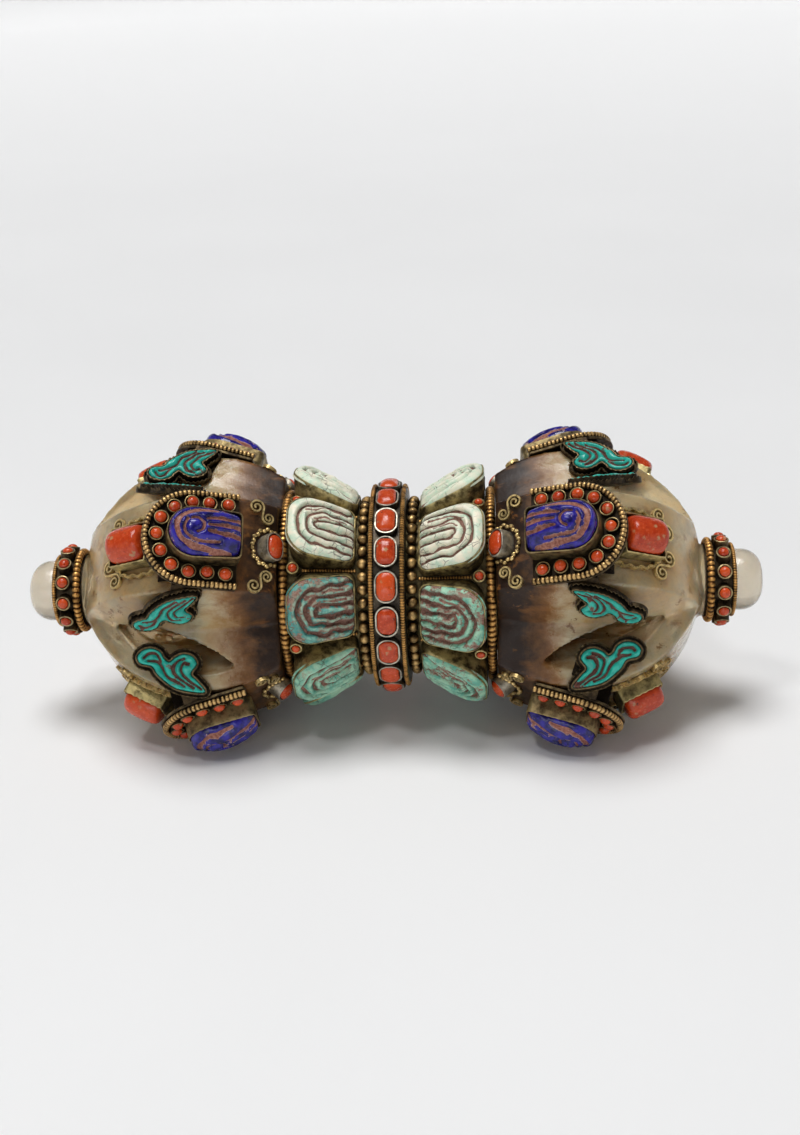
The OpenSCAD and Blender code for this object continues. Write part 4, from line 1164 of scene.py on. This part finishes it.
# Stage
def backdrop_paint():
    """Pale sheet, a little paler far behind the object: painted light that brightens the far backdrop."""
    paint = Paint("backdrop", Roughness=0.85)
    # Painted light: paler further behind the object
    far = paint.ramp(paint.add("SeparateXYZ", {0: paint.coords})["Y"], 0.3, 1.8)
    near = paint.mix(paint.patches(0.3, 0.7, 300, 2), (238,) * 3, (241,) * 3)
    paint.set("Base Color", paint.mix(far, near, (254,) * 3))
    return paint.material


def stage():
    """Pale floor that curves up into a low wall all round."""
    floor_r, bend_r, wall_h, sides = 2400, 500, 1200, 96
    bend = np.linspace(0, pi / 2, 16)
    reach = np.append(floor_r + bend_r * np.sin(bend), floor_r + bend_r)
    rise = np.append(bend_r * (1 - np.cos(bend)), wall_h)
    rings = [level(circle(radius, sides), z) for radius, z in zip(reach, rise)]
    points, (*walls, _, floor), _ = loft(rings[::-1])
    mesh = bpy.data.meshes.new("backdrop")
    mesh.from_pydata((points * MM + [0, 0, cad_box[0][2]]).tolist(), [], [*walls, floor])
    mesh.shade_smooth()
    mesh.materials.append(backdrop_paint())
    put("backdrop", mesh)


def aimed(way):
    """Rotation that looks along the way given."""
    return Vector(way).to_track_quat("-Z", "Y")


def lamp(name, place, size, watts):
    """Area lamp that lights the middle of the object."""
    data = bpy.data.lights.new(name, "AREA")
    data.shape = "RECTANGLE"
    data.size, data.size_y = size
    data.energy = watts
    thing = put(name, data)
    thing.location = place
    thing.rotation_euler = aimed(-Vector(place)).to_euler()


def room_light():
    """Dim room that is brighter above."""
    low, high = 0.12, 0.9
    walls, ceiling = (0.03, 0.03, 0.031, 1), (0.15, 0.153, 0.158, 1)
    world = bpy.data.worlds.new("studio")
    bpy.context.scene.world = world
    world.use_nodes = True
    tree = world.node_tree
    way = add_node(tree, "TexCoord", {})["Generated"]
    height = add_node(tree, "SeparateXYZ", {0: way})["Z"]
    feeds = {"Value": height, "From Min": low, "From Max": high}
    rise = add_node(tree, "MapRange", feeds)["Result"]
    feeds = {MIX_FACTOR: rise, MIX_A: walls, MIX_B: ceiling}
    room = add_node(tree, "Mix", feeds, data_type="RGBA")[MIX_RESULT]
    feed(tree, tree.nodes["Background"].inputs["Color"], room)


def lights():
    """A broad light from overhead, a small key and a weak fill in front."""
    sun = bpy.data.lights.new("broad", "SUN")
    sun.angle = radians(28)
    sun.energy = 2.08
    put("broad", sun).rotation_euler = aimed((0.07, -0.07, -1.0)).to_euler()
    lamp("key", (-0.4, -0.55, 1.4), (0.2, 0.2), 3.2)
    lamp("fill", (-0.3, -1.6, 0.42), (1.2, 0.5), 3.4)


def camera():
    """Seen from slightly above and to the right, as photographed."""
    azimuth, elevation, roll, distance = radians(3.9), radians(24.65), 2.59, 0.6
    image_w, image_h = 800, 1135
    middle_x, middle_y = 392.4, 584.8
    data = bpy.data.cameras.new("view")
    data.lens = 53.4
    data.shift_x = (image_w / 2 - middle_x) / image_h
    data.shift_y = (middle_y - image_h / 2) / image_h
    view = put("view", data)
    away = Vector((sin(azimuth) * cos(elevation), -cos(azimuth) * cos(elevation),
                   sin(elevation)))
    view.location = away * distance
    facing = aimed(-away).to_matrix().to_4x4()
    view.rotation_euler = (facing @ Matrix(turn("z", -roll).tolist())).to_euler()
    bpy.context.scene.camera = view
    bpy.context.scene.view_settings.view_transform = "Standard"


girdle()
for half_name in HALVES:
    crystal(half_name)
    lotus(half_name)
    clasps(half_name)
    end_collar(half_name)
    plaques(half_name)
    wings(half_name)
    barrels(half_name)
    scrolls(half_name)
inner_pieces()
stage()
room_light()
lights()
camera()
